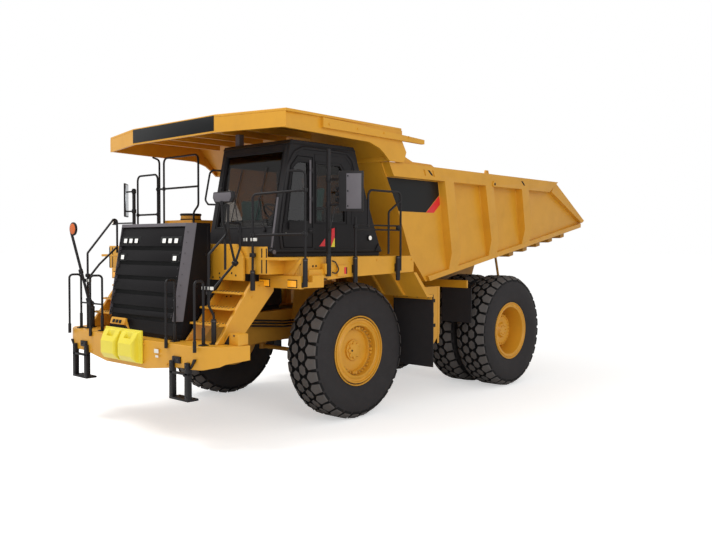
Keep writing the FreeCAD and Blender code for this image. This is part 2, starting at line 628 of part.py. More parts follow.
def bumper():
    """Front bumper beam with swept-back ends that rise at their lower edge."""
    plan = [(BUMPER_FACE, 0), (BUMPER_FACE, 530), (STEP_FACE, 1060), (STEP_FACE, 1560),
            (BUMPER_FACE - 100, 1740), (BUMPER_FACE - 230, 1920), (BUMPER_FACE - 650, BUMPER_HALF_WIDTH),
            (BUMPER_FACE - 730, 1840), (BUMPER_FACE - 730, 1560), (BUMPER_FACE - 560, 1560),
            (BUMPER_FACE - 560, 0)]
    half = plate_plan(plan, BUMPER_BOTTOM, BUMPER_TOP)
    under, raised, beyond = BUMPER_BOTTOM - 10, BUMPER_END_BOTTOM, BUMPER_HALF_WIDTH + 50
    taper = plate_front([(530, under), (530, BUMPER_BOTTOM), (1300, raised), (beyond, raised), (beyond, under)],
                        BUMPER_FACE - 800, BUMPER_FACE + 10)
    rise = plate_side([(BUMPER_FACE - 90, under), (BUMPER_FACE - 90, raised), (BUMPER_FACE - 310, raised + 75),
                       (BUMPER_FACE - 800, raised + 125), (BUMPER_FACE - 800, under)], 1300, beyond)
    half = half.cut(taper).cut(rise)
    beam = fuse([half, mirrored(half)])
    rail_gap = RAIL_OUTER_Y + FIT_GAP
    rail_space = box(BUMPER_FACE - 610, RAIL_NOSE + FIT_GAP, -rail_gap, rail_gap, under - 90, BUMPER_TOP + 10)
    return beam.cut(rail_space)


def tow_blocks():
    """Two bright buffer blocks on a plate at the bumper's middle, each with a recess in its sloping top."""
    plate = box(BUMPER_FACE + FIT_GAP, BUMPER_FACE + 40, -480, 480, 1060, 1530)
    side = [(BUMPER_FACE + 20, 1080), (TOW_BLOCK_FACE - 70, 1080), (TOW_BLOCK_FACE, 1160),
            (TOW_BLOCK_FACE, 1340), (TOW_BLOCK_FACE - 90, 1500), (BUMPER_FACE + 20, 1500)]
    block = plate_side(side, 30, 440)
    for y in (30, 440):
        block = block.cut(plate_plan([(TOW_BLOCK_FACE - 60, y), (TOW_BLOCK_FACE + 60, y - 60),
                                      (TOW_BLOCK_FACE + 60, y + 60)], 1000, 1600))
    block = block.cut(box(BUMPER_FACE + 70, TOW_BLOCK_FACE - 45, 150, 320, 1370, 1600))
    return fuse([plate, block, mirrored(block)])


def hung_steps():
    """Bottom steps that hang on the bumper's face on each side."""
    x = STEP_FACE + FIT_GAP
    y0, y1 = STEP_Y, STEP_Y + STEP_WIDTH
    posts = [box(x, x + 45, y, y + 45, 680, 1180) for y in (y0, y1 - 45)]
    tread = box(x - 130, x + 45, y0, y1, 660, 690)
    middle = box(x, x + 45, y0, y1, 1010, 1040)
    return fuse(posts + [tread, middle])


def stair():
    """Diagonal stair from the bumper to the deck, with its outer stringer."""
    stringer = plate_side([(6860, BUMPER_TOP + FIT_GAP), (6480, BUMPER_TOP + FIT_GAP), (5850, 2080),
                           (5850, 2230), (6240, 2230)], 1640, 1700)
    inner = plate_side([(6860, BUMPER_TOP + FIT_GAP), (6560, BUMPER_TOP + FIT_GAP), (5900, 2110),
                        (5900, 2230), (6200, 2230)], GUARD_HALF_WIDTH + 30, GUARD_HALF_WIDTH + 60)
    treads = []
    for i in range(3):
        z = BUMPER_TOP + 230 + 210 * i
        x = 6690 - 170 * i
        treads.append(box(x - 130, x + 100, GUARD_HALF_WIDTH + 40, 1660, z, z + 30))
    return fuse([stringer, inner] + treads).cut(lamp_box_space())


def lamp_box_space():
    """Room that the stair leaves for the lamp box."""
    return box(5500, LAMP_BOX_FACE + FIT_GAP + 14, LAMP_BOX_INNER_Y - 60, LAMP_BOX_OUTER_Y + 80,
               LAMP_BOX_BOTTOM - FIT_GAP, 2500)


def lamp_box():
    """Cross box at the deck's front corner that carries the amber lamps."""
    body = box(5560, LAMP_BOX_FACE, LAMP_BOX_INNER_Y, LAMP_BOX_OUTER_Y, LAMP_BOX_BOTTOM, LAMP_BOX_TOP)
    back = box(5560, 5780, LAMP_BOX_INNER_Y, LAMP_BOX_OUTER_Y, LAMP_BOX_TOP - 10, LAMP_BOX_TOP + 90)
    return fuse([body, back])


def amber_lamps():
    face = LAMP_BOX_FACE + FIT_GAP
    lamp = [box(face, face + 13, y0, y1, LAMP_BOX_BOTTOM + 10, LAMP_BOX_TOP - 8)
            for y0, y1 in ((LAMP_BOX_INNER_Y + 30, LAMP_BOX_INNER_Y + 230),
                           (LAMP_BOX_OUTER_Y - 240, LAMP_BOX_OUTER_Y - 80))]
    return apart(lamp + [mirrored(piece) for piece in lamp])


def headlamps():
    """White lamps set on the top two slats."""
    lamps = []
    for y in (370, 520, 670):
        lamps.append(box(guard_line(2800, -14), guard_line(2800, -34), y - 55, y + 55, 2800, 2880))
    lamps.append(box(guard_line(2520, -14), guard_line(2520, -40), 640, 740, 2520, 2620))
    return apart(lamps + [mirrored(lamp) for lamp in lamps])


save("radiator_guard", radiator_guard())
save("grille_trim", grille_trim())
save("grille", grille())
save("headlamps", headlamps())
save("front_bumper", bumper())
save("tow_blocks", tow_blocks())
save("hung_steps", both_sides(hung_steps()))
save("stairs", both_sides(stair()))
save("amber_lamps", amber_lamps())


# ---------------------------------------------------------------- deck, fenders and rails
def deck():
    """Deck plates, their side fascias and the brackets down to the frame."""
    z0 = DECK_TOP - DECK_PLATE
    left = box(DECK_REAR, DECK_FRONT + 480, CAB_RIGHT_Y - 150, DECK_HALF_WIDTH, z0, DECK_TOP)
    middle = box(DECK_REAR, DECK_FRONT + 480, -CAB_RIGHT_Y - 300, CAB_RIGHT_Y - 140, z0, DECK_TOP)
    right = box(DECK_REAR, DECK_FRONT + 480, -DECK_HALF_WIDTH, -CAB_RIGHT_Y - 290, z0, DECK_TOP)
    side = [(DECK_REAR, DECK_TOP - 260), (4970, DECK_TOP - DECK_FASCIA), (5560, DECK_TOP - DECK_FASCIA - 40),
            (APRON_FACE, DECK_TOP - DECK_FASCIA - 40), (APRON_FACE, DECK_TOP), (DECK_REAR, DECK_TOP)]
    fascia = plate_side(side, DECK_HALF_WIDTH - FASCIA_PLATE, DECK_HALF_WIDTH)
    legs = []
    for x in (3600, 5650):
        legs.append(box(x, x + 120, RAIL_OUTER_Y - 100, RAIL_OUTER_Y - 20, RAIL_TOP - 40, z0 + 10))
    apron = box(APRON_FACE - 40, APRON_FACE, LAMP_BOX_INNER_Y, DECK_HALF_WIDTH, LAMP_BOX_TOP - 10, z0 + 10)
    pieces = [left, middle, right]
    for piece in (fascia, apron, lamp_box()):
        pieces += [piece, mirrored(piece)]
    for leg in legs:
        pieces += [leg, mirrored(leg)]
    return fuse(pieces).cut(frame_rail()).cut(mirrored(frame_rail()))


def front_panel():
    """Upright yellow panel ahead of the cab, above the stair."""
    outline = [(840, 2235), (1600, 2235), (1600, 2560), (1450, 2750), (840, 2750)]
    return plate_front(outline, 6290, 6330)


def fender():
    """Ribbed sloping panel behind the front wheel and its black mud flap's bar."""
    panel = plate_side([(3330, 2300), (3400, 2300), (3040, 1880), (FLAP_FORE, 1880), (FLAP_FORE, 1920),
                        (2980, 1920)], 680, DECK_HALF_WIDTH)
    ribs = [plate_side([(3390, 2290), (3450, 2290), (3110, 1900), (3030, 1900)], y, y + 50)
            for y in (900, 1350, 1800)]
    return fuse([panel] + ribs)


def mud_flap():
    """Black flap that hangs behind the front wheel."""
    return box(FLAP_FORE - FIT_GAP - 20, FLAP_FORE - FIT_GAP, 1450, DECK_HALF_WIDTH, 710, 1920)


def rear_flap():
    """Black flap on its yellow bracket ahead of the rear wheels."""
    return box(1290, 1310, 1320, 1990, 1310, 1950 - FIT_GAP)


def rear_flap_bracket():
    arm = [(1330, 1950), (1290, 1950), (1290, 2090), (1330, 2090)]
    return plate_side(arm, RAIL_OUTER_Y + 200, 1900)


def left_rails():
    """Handrails round the deck's front left corner and along its left edge, each post in a black sleeve."""
    y = DECK_HALF_WIDTH + RAIL_STANDOFF
    corner_y = y + 110
    stair_x, stair_y = DECK_FRONT + 520, 1795
    front = [
        tube_bend([(5960, corner_y, 2190), (5960, corner_y, 3740), (6100, y - 60, 3740)],
                  HANDRAIL_RADIUS, 70),
        rod((5960, corner_y, 2170), (5960, corner_y, 2560), SLEEVE_RADIUS),
        box(5925, 5995, LAMP_BOX_OUTER_Y + FIT_GAP, corner_y, LAMP_BOX_BOTTOM + 20, LAMP_BOX_TOP),
        tube_bend([(stair_x, stair_y, 2130), (stair_x, stair_y, 3430), (5960, corner_y, 3480)],
                  HANDRAIL_RADIUS, 70),
        rod((stair_x, stair_y, 2870), (5960, corner_y, 2890), HANDRAIL_RADIUS),
        rod((stair_x, stair_y, 2110), (stair_x, stair_y, 2390), SLEEVE_RADIUS),
    ]
    rear = [
        rod((4840, y, 2200), (4840, y, 3150), HANDRAIL_RADIUS),
        tube_bend([(3860, y, 2200), (3860, y, 3560), (4600, y, 3560), (4600, y, 3010)], HANDRAIL_RADIUS, 90),
        rod((3860, y, 3010), (4840, y, 3010), HANDRAIL_RADIUS),
    ]
    for x in (4840, 3860):
        rear.append(rod((x, y, 2190), (x, y, DECK_TOP), SLEEVE_RADIUS))
        rear.append(box(x - 30, x + 30, DECK_HALF_WIDTH + FIT_GAP, y, 2330, 2450))
    return apart([fuse(front), fuse(rear)])


def right_rails():
    """Tall guard frame, hooked post and outer loop across the right half of the deck."""
    x, foot = GUARD_FRAME_FORE, DECK_TOP + FIT_GAP
    tall = tube_bend([(x, -1410, foot), (x, -1410, 4210), (x, -430, 4210), (x, -430, 3380), (x, -560, 3270),
                      (x, -560, foot)], HANDRAIL_RADIUS, 90)
    hook = tube_bend([(x, -1545, foot), (x, -1545, 4190), (x, -1740, 4250)], HANDRAIL_RADIUS, 90)
    loop = tube_bend([(x, -2230, foot), (x, -2230, 3950), (x, -1600, 3950), (x, -1600, foot)],
                     HANDRAIL_RADIUS, 90)
    bar = rod((x, -1625, 3690), (x, -430, 3690), HANDRAIL_RADIUS)
    low_bar = rod((x, -2230, 3260), (x, -1600, 3260), HANDRAIL_RADIUS)
    return fuse([tall, hook, loop, bar, low_bar])


def stair_rail_left():
    """Stair rail that rises in a loop by the deck, with the two legs of the convex mirror on it."""
    y, x = STAIR_RAIL_Y, BUMPER_FACE - 375
    rail = tube_bend([(x, y, BUMPER_TOP + FIT_GAP), (x, y, 1790), (x + 80, y, 1920), (x + 80, y, 2080),
                      (x - 365, y, 2490), (x - 455, y, 2700), (x - 455, y, 3040), (x - 195, y, 3040),
                      (x - 195, y, 2400)], HANDRAIL_RADIUS, 40)
    front_leg = tube_bend([(x + 80, y, 2000), (x + 80, y, 2610), (x - 205, y + 30, 2890),
                           (x - 85, y + 90, 3060), (x - 65, y + 100, 3280)], HANDRAIL_RADIUS, 40)
    rear_leg = tube_bend([(x - 365, y, 2480), (x - 225, y + 60, 2800), (x - 110, y + 170, 2960),
                          (x - 110, y + 180, 3280)], HANDRAIL_RADIUS, 40)
    sleeve = rod((x, y, BUMPER_TOP + FIT_GAP), (x, y, 1740), SLEEVE_RADIUS)
    return fuse([rail, front_leg, rear_leg, sleeve])


def stair_rail_right():
    """Stair rail that climbs from the bumper to the front edge of the deck."""
    y, x = -STAIR_RAIL_Y, BUMPER_FACE - 375
    rail = tube_bend([(x, y, BUMPER_TOP + FIT_GAP), (x, y, 1790), (x + 80, y, 1920), (x + 80, y, 2600),
                      (x - 450, y, 3230), (x - 450, y, 2600)], HANDRAIL_RADIUS, 40)
    branch = tube_bend([(x + 80, y, 2180), (x - 130, y, 2420), (x - 450, y, 2700)], HANDRAIL_RADIUS, 40)
    sleeve = rod((x, y, BUMPER_TOP + FIT_GAP), (x, y, 1740), SLEEVE_RADIUS)
    return fuse([rail, branch, sleeve])


def step_loops(side):
    """Two grab loops beside one set of hung steps; side is 1 on the left and -1 on the right."""
    loops = []
    for y in (970, 1620):
        x = BUMPER_FACE - 190
        reach = x + 175
        loops.append(tube_bend([(x, side * y, BUMPER_TOP + FIT_GAP), (x, side * y, 2260),
                                (reach, side * (y + 45), 2260), (reach, side * (y + 45), 1345)],
                               HANDRAIL_RADIUS, 50))
    return loops


def mirror_head(x, y, width, z0, z1, turn):
    """Upright mirror head about (x, y), turned towards the driver."""
    head = box(x - 20, x + 20, y - width / 2, y + width / 2, z0, z1)
    head.rotate(vec(fore(x), y, 0), vec(0, 0, 1), turn)
    return head


def left_mirror():
    """Main mirror on its tall post at the deck's left edge."""
    x, y = 5450, DECK_HALF_WIDTH + 100
    post = rod((x, y, 2330), (x, y, 4080), 30)
    foot = box(x - 60, x + 60, DECK_HALF_WIDTH + FIT_GAP, y, 2330, 2480)
    arms = [rod((x, y, z), (x, y + 420, z), 14) for z in (3300, 3650)]
    return fuse([post, foot, mirror_head(x, y + 430, 340, 3200, 3750, 37)] + arms)


def right_mirror():
    """Mirror and work lamp at the deck's right edge; the lamp reaches as far out as the left mirror."""
    x, y = GUARD_FRAME_FORE + 65, -DECK_HALF_WIDTH + 50
    outer = -left_mirror().BoundBox.YMax
    post = rod((x, y, DECK_TOP + FIT_GAP), (x, y, 3730), 30)
    arms = [rod((x, y, z), (x, y - 260, z), 14) for z in (3330, 3680)]
    head = mirror_head(x, y - 260, 340, 3230, 3830, -40)
    lamp_arm = rod((x, y, 3120), (x, outer + 60, 3120), 14)
    lamp = rod((x - 40, outer + 60, 3150), (x + 60, outer + 60, 3150), 60)
    return fuse([post, head, lamp_arm, lamp] + arms)


def round_mirrors():
    """Round mirror on its tilted pole at the right, and the convex mirror above the left stair's rail."""
    x, y = BUMPER_FACE - 245, -1480
    right_pole = tube_bend([(x, y, BUMPER_TOP + FIT_GAP), (x, y, 1850), (x, -2030, 2930)], 22, 80)
    right_sleeve = rod((x, y, BUMPER_TOP + FIT_GAP), (x, y, 1840), SLEEVE_RADIUS)
    right_head = Part.makeCylinder(110, 40, vec(fore(x - 20), -1965, 2990), vec(1, 0, 0))
    left_x = BUMPER_FACE - 440
    left_head = plate_front([(1540, 3300), (1880, 3300), (1930, 3370), (1915, 3450), (1505, 3450),
                             (1490, 3370)], left_x - 60, left_x + 10)
    socket = rod((left_x, STAIR_RAIL_Y + 100, 3280 + 6 * FIT_GAP), (left_x, STAIR_RAIL_Y + 100, 3320), 25)
    return apart([fuse([right_pole, right_sleeve, right_head]), fuse([left_head, socket])])


def air_cleaners():
    """Air cleaner housing on the deck's right half."""
    tray = box(5050, 5560, -1470, -660, DECK_TOP + FIT_GAP, 3150)
    cap = Part.makeCylinder(170, 90, vec(fore(5300), -1060, 3140), vec(0, 0, 1))
    return fuse([tray, cap])


save("deck", deck())
save("front_panels", both_sides(front_panel()))
save("fenders", apart([both_sides(fender()), both_sides(rear_flap_bracket())]))
save("mud_flaps", apart([both_sides(mud_flap()), both_sides(rear_flap())]))
save("deck_rails_left", left_rails())
save("deck_rails_right", right_rails())
save("stair_handrails", apart([stair_rail_left(), stair_rail_right()] + step_loops(1) + step_loops(-1)))
save("mirrors", apart([left_mirror(), right_mirror(), round_mirrors()]))
save("air_cleaner", air_cleaners())


# ---------------------------------------------------------------- cab
def cab_line(z):
    """Fore distance of the cab's leaning front at height z."""
    share = (z - CAB_FLOOR) / (CAB_ROOF - CAB_FLOOR)
    return CAB_FRONT_FOOT + (CAB_FRONT_HEAD - CAB_FRONT_FOOT) * share


CAB_SIDE = [(CAB_REAR_FOOT, CAB_FLOOR), (CAB_FRONT_FOOT, CAB_FLOOR), (CAB_FRONT_HEAD, CAB_ROOF - 40),
            (CAB_REAR_HEAD, CAB_ROOF - 40), (CAB_REAR_HEAD - 70, CAB_ROOF - 250)]
HINGE_HEIGHTS = (DOOR_BOTTOM + 200, (DOOR_BOTTOM + DOOR_TOP) / 2, DOOR_TOP - 240)


def cab_wall(y0, y1):
    return plate_side(CAB_SIDE, y0, y1)


def door_outline(margin):
    """Outline of the door leaf, let in from its opening by a margin."""
    return [(DOOR_REAR + margin, DOOR_BOTTOM + margin), (DOOR_FRONT - 40 - margin, DOOR_BOTTOM + margin),
            (DOOR_FRONT - margin, DOOR_BOTTOM + 220 + margin), (DOOR_FRONT - 170 - margin, DOOR_TOP - 150),
            (DOOR_FRONT - 300 - margin, DOOR_TOP - margin), (DOOR_REAR + margin, DOOR_TOP - margin)]


def door_window(gap):
    """Outline of the door's window, let in by a gap."""
    return [(DOOR_REAR + 90 + gap, WINDOW_SILL + gap), (DOOR_FRONT - 120 - 2 * gap, WINDOW_SILL + gap),
            (DOOR_FRONT - 230 - gap, DOOR_TOP - 170 - gap), (DOOR_FRONT - 330 - gap, DOOR_TOP - 90 - gap),
            (DOOR_REAR + 90 + gap, DOOR_TOP - 90 - gap)]


def rear_side_window(gap):
    """Outline of the fixed window behind the door, let in by a gap."""
    return [(4640 + gap, WINDOW_SILL + gap), (DOOR_REAR - 80 - gap, WINDOW_SILL + gap),
            (DOOR_REAR - 80 - gap, DOOR_TOP - 90 - gap), (4760 + gap, DOOR_TOP - 90 - gap),
            (4640 + gap, DOOR_TOP - 220 - gap)]


def right_window(gap):
    """Outline of the window in the right wall, let in by a gap."""
    return [(4640 + gap, WINDOW_SILL + gap), (5780 - gap, WINDOW_SILL + gap),
            (5680 - gap, DOOR_TOP - 90 - gap), (4700 + gap, DOOR_TOP - 90 - gap)]


def hinge_barrels(radius, gap):
    """Round hinge barrels on the door's axis, longer by a gap at each end."""
    return [rod((DOOR_REAR, CAB_LEFT_Y, z - gap), (DOOR_REAR, CAB_LEFT_Y, z + HINGE_LENGTH + gap), radius)
            for z in HINGE_HEIGHTS]


def cab_sides():
    """Left and right walls with the door opening and the windows cut."""
    left = cab_wall(CAB_LEFT_Y - CAB_WALL, CAB_LEFT_Y)
    left = left.cut(plate_side(door_outline(0), CAB_LEFT_Y - 200, CAB_LEFT_Y + 50))
    left = left.cut(plate_side(rear_side_window(0), CAB_LEFT_Y - 200, CAB_LEFT_Y + 50))
    for space in hinge_barrels(HINGE_RADIUS + FIT_GAP, RUN_GAP):
        left = left.cut(space)
    right = cab_wall(CAB_RIGHT_Y, CAB_RIGHT_Y + CAB_WALL)
    right = right.cut(plate_side(right_window(0), CAB_RIGHT_Y - 50, CAB_RIGHT_Y + 200))
    return left, right


def cab_front():
    """Windscreen frame between the side walls."""
    y0, y1 = CAB_RIGHT_Y + CAB_WALL, CAB_LEFT_Y - CAB_WALL
    foot, head, head_z = cab_line(CAB_FLOOR), cab_line(CAB_ROOF - 40), CAB_ROOF - 40
    slab = plate_side([(foot - CAB_WALL, CAB_FLOOR), (foot, CAB_FLOOR), (head, head_z),
                       (head - CAB_WALL, head_z)], y0, y1)
    return slab.cut(box(5400, 6300, y0 + 70, y1 - 70, SCREEN_SILL, CAB_ROOF - 150))


def cab_rear():
    """Rear wall with its window, and the sloping skirt below."""
    y0, y1 = CAB_RIGHT_Y + CAB_WALL, CAB_LEFT_Y - CAB_WALL
    bend = CAB_ROOF - 250
    outer = [(CAB_REAR_FOOT, CAB_FLOOR), (CAB_REAR_HEAD - 70, bend), (CAB_REAR_HEAD, CAB_ROOF - 40)]
    inner = [(CAB_REAR_HEAD + 70, CAB_ROOF - 40), (CAB_REAR_HEAD, bend - 20), (CAB_REAR_FOOT + 75, CAB_FLOOR)]
    window = box(3900, 4600, y0 + 120, y1 - 120, BACK_WINDOW_SILL, CAB_ROOF - 360)
    return plate_side(outer + inner, y0, y1).cut(window)


def cab_floor():
    """Base frame that carries the cab on the deck."""
    return box(CAB_REAR_FOOT + 20, CAB_FRONT_FOOT - 20, CAB_RIGHT_Y + 20, CAB_LEFT_Y - 20,
               DECK_TOP, CAB_FLOOR)


def cab_roof():
    roof = plate_side([(CAB_REAR_HEAD - 20, CAB_ROOF - 40), (CAB_FRONT_HEAD + 20, CAB_ROOF - 40),
                       (CAB_FRONT_HEAD - 20, CAB_ROOF + 20), (CAB_REAR_HEAD + 40, CAB_ROOF + 20)],
                      CAB_RIGHT_Y, CAB_LEFT_Y)
    post = box(5560, 5640, 590, 670, CAB_ROOF + 10, CANOPY_TOP - 170)
    return roof.fuse(post).removeSplitter()


def cab_door():
    """Door leaf with its window opening, handle, hinge straps and hinge barrels."""
    leaf = plate_side(door_outline(RUN_GAP), CAB_LEFT_Y - CAB_WALL + 10, CAB_LEFT_Y)
    leaf = leaf.cut(plate_side(door_window(0), CAB_LEFT_Y - 200, CAB_LEFT_Y + 50))
    handle = box(DOOR_FRONT - 150, DOOR_FRONT - 120, CAB_LEFT_Y - 5, CAB_LEFT_Y + 30, 2960, 3060)
    straps = [box(DOOR_REAR + 5, DOOR_REAR + 80, CAB_LEFT_Y - 5, CAB_LEFT_Y + 8,
                  z + 10, z + HINGE_LENGTH - 10) for z in HINGE_HEIGHTS]
    return fuse([leaf, handle] + straps + hinge_barrels(HINGE_RADIUS, 0))


def pane(points, y):
    return plate_side(points, y, y + GLASS)


def cab_glass():
    """Fixed panes: windscreen, right, rear side and back."""
    y0, y1 = CAB_RIGHT_Y + CAB_WALL + 70 + FIT_GAP, CAB_LEFT_Y - CAB_WALL - 70 - FIT_GAP
    low, high = SCREEN_SILL + FIT_GAP, CAB_ROOF - 150 - FIT_GAP
    screen = plate_side([(cab_line(low) - 30 - GLASS, low), (cab_line(low) - 30, low),
                         (cab_line(high) - 30, high), (cab_line(high) - 30 - GLASS, high)], y0, y1)
    rear_side = pane(rear_side_window(FIT_GAP), CAB_LEFT_Y - 36)
    right = pane(right_window(FIT_GAP), CAB_RIGHT_Y + 24)
    low, high = BACK_WINDOW_SILL + FIT_GAP, CAB_ROOF - 360 - FIT_GAP
    rear = plate_side([(back_line(low), low), (back_line(low) + GLASS, low), (back_line(high) + GLASS, high),
                       (back_line(high), high)], CAB_RIGHT_Y + CAB_WALL + 121, CAB_LEFT_Y - CAB_WALL - 121)
    return apart([screen, rear_side, right, rear])


def back_line(z):
    """Fore distance of the back pane's outer face at height z."""
    lean = (CAB_REAR_HEAD - 70 - CAB_REAR_FOOT) / (CAB_ROOF - 250 - CAB_FLOOR)
    return CAB_REAR_FOOT + (z - CAB_FLOOR) * lean + 30


def door_glass():
    return pane(door_window(FIT_GAP), CAB_LEFT_Y - 36)


def seat():
    """Driver's seat on its pedestal."""
    y = (CAB_LEFT_Y + CAB_RIGHT_Y) / 2 + 60
    base = box(4750, 5050, y - 180, y + 180, CAB_FLOOR, 2950)
    cushion = box(4650, 5180, y - 260, y + 260, 2940, 3080)
    back = plate_side([(4650, 3070), (4790, 3070), (4700, 3680), (4580, 3680)], y - 250, y + 250)
    return fuse([base, cushion, back])


def console():
    """Dash, steering column and wheel."""
    y = (CAB_LEFT_Y + CAB_RIGHT_Y) / 2 + 60
    dash = plate_side([(5600, CAB_FLOOR), (5900, CAB_FLOOR), (5840, 3060), (5640, 3120), (5560, 3020)],
                      CAB_RIGHT_Y + CAB_WALL + FIT_GAP, CAB_LEFT_Y - CAB_WALL - FIT_GAP)
    dash = dash.cut(box(5400, 6000, y + 300, CAB_LEFT_Y, CAB_FLOOR - 1, 3200))
    column = rod((5640, y, 3000), (5420, y, 3200), 40)
    turns = [math.radians(60 * i) for i in range(6)]
    section = [(16 * math.cos(turn), 210 + 16 * math.sin(turn)) for turn in turns]
    wheel = sector_ring(sector_bands(section + section[:1], 24), 24)
    wheel.rotate(vec(0, 0, 0), vec(0, 0, 1), 90)
    wheel.rotate(vec(0, 0, 0), vec(0, 1, 0), math.degrees(math.atan2(200, 220)))
    wheel.translate(vec(fore(5420), y, 3200))
    spoke = rod((5420, y - 208, 3200), (5420, y + 208, 3200), 12)
    return fuse([dash, column, wheel, spoke])


save("cab_side_walls", apart(cab_sides()))
save("cab_front_frame", cab_front())
save("cab_rear_wall", cab_rear())
save("cab_floor", cab_floor())
save("cab_roof", cab_roof())
save("cab_door", cab_door())
save("cab_glass", cab_glass())
save("door_glass", door_glass())
save("seat", seat())
save("console", console())


# ---------------------------------------------------------------- dump body
def floor_z(distance):
    """Height of the floor's underside at a fore distance."""
    return FLOOR_FRONT_Z + (FLOOR_FRONT - distance) * math.tan(BODY_SLOPE)


INNER_Y = BODY_HALF_WIDTH - BODY_SHEET
RIB_LINES = ((2235, 1958), (978, 698), (-300, -484))     # fore at the top and at the foot
WALL_OUTER = [(FLOOR_FRONT, FLOOR_FRONT_Z), (3110, 2570), (3450, 3330), (3740, RAIL_CAP_BOTTOM),
              (3890, RAIL_CAP_TOP + 50)]


def floor_plate():
    """The load floor's sheet."""
    lift = FLOOR_SHEET / math.cos(BODY_SLOPE)
    front = FLOOR_FRONT + 40
    return plate_side([(FLOOR_FRONT, FLOOR_FRONT_Z), (TAIL_BOTTOM, TAIL_BOTTOM_Z),
                       (TAIL_BOTTOM + 10, TAIL_BOTTOM_Z + lift), (front, floor_z(front) + lift)],
                      -INNER_Y + FIT_GAP, INNER_Y - FIT_GAP)


def body_floor():
    """Flat floor plate that rises to the tail, with its cross bolsters."""
    pieces = [floor_plate()]
    for i in range(5):
        x = -250.0 - 520.0 * i
        rear, front = floor_z(x), floor_z(x + 160)
        bolster = [(x, rear - 120), (x, rear + 20), (x + 160, front + 20), (x + 160, front - 120)]
        pieces.append(plate_side(bolster, -INNER_Y + 40, INNER_Y - 40))
    for y in (BODY_BEAM_Y - BODY_BEAM_WIDTH / 2, -BODY_BEAM_Y - BODY_BEAM_WIDTH / 2):
        rear_seat, front_seat = REAR_RAIL_TOP + BODY_PAD, RAIL_TOP + 60 + BODY_PAD
        beam = [(2350, floor_z(2350) + 20), (-1250, floor_z(-1250) + 20), (-1250, floor_z(-1250) - 150),
                (PIVOT_FORE - 150, rear_seat), (900, rear_seat), (1900, front_seat), (2350, front_seat)]
        pieces.append(plate_side(beam, y, y + BODY_BEAM_WIDTH))
    return fuse(pieces)


def pivot_lugs():
    """Lugs and pin that hinge the body on the chassis rails' tails."""
    inner = RAIL_OUTER_Y - RAIL_WIDTH - RUN_GAP
    front, rear = PIVOT_FORE + 260, PIVOT_FORE - 260
    lug = [(PIVOT_FORE - 110, PIVOT_Z - 110), (PIVOT_FORE + 110, PIVOT_Z - 110), (front, floor_z(front) + 20),
           (rear, floor_z(rear) + 20)]
    pin = rod((PIVOT_FORE, inner - 50, PIVOT_Z), (PIVOT_FORE, RAIL_OUTER_Y + 30, PIVOT_Z), PIVOT_PIN_RADIUS)
    return fuse([plate_side(lug, inner - 60, inner), pin])


def body_front_wall():
    """Forward-leaning front wall between the side sheets."""
    t = 50
    inner = [(3890 - t, RAIL_CAP_TOP + 60), (3740 - t, RAIL_CAP_BOTTOM + 20), (3450 - t - 5, 3350),
             (3110 - t - 10, 2600), (FLOOR_FRONT - 90, 2210)]
    wall = plate_side(WALL_OUTER + inner, -INNER_Y + FIT_GAP, INNER_Y - FIT_GAP)
    return wall.cut(floor_plate())


def side_rib(top, foot):
    """Rib between the top rail and the floor; its face slopes back to the sheet at the foot."""
    low, high = floor_z(foot) + 30, RAIL_CAP_BOTTOM + 20
    half = RIB_WIDTH / 2
    rib = plate_side([(top - half, high), (foot - half, low + 20), (foot + half, low - 20),
                      (top + half, high)], INNER_Y + 5, RIB_HALF_WIDTH)
    taper = [(RIB_HALF_WIDTH + 5, low + 330), (RIB_HALF_WIDTH + 5, low - 40),
             (BODY_HALF_WIDTH + 30, low - 40)]
    return rib.cut(plate_front(taper, min(top, foot) - RIB_WIDTH, max(top, foot) + RIB_WIDTH))


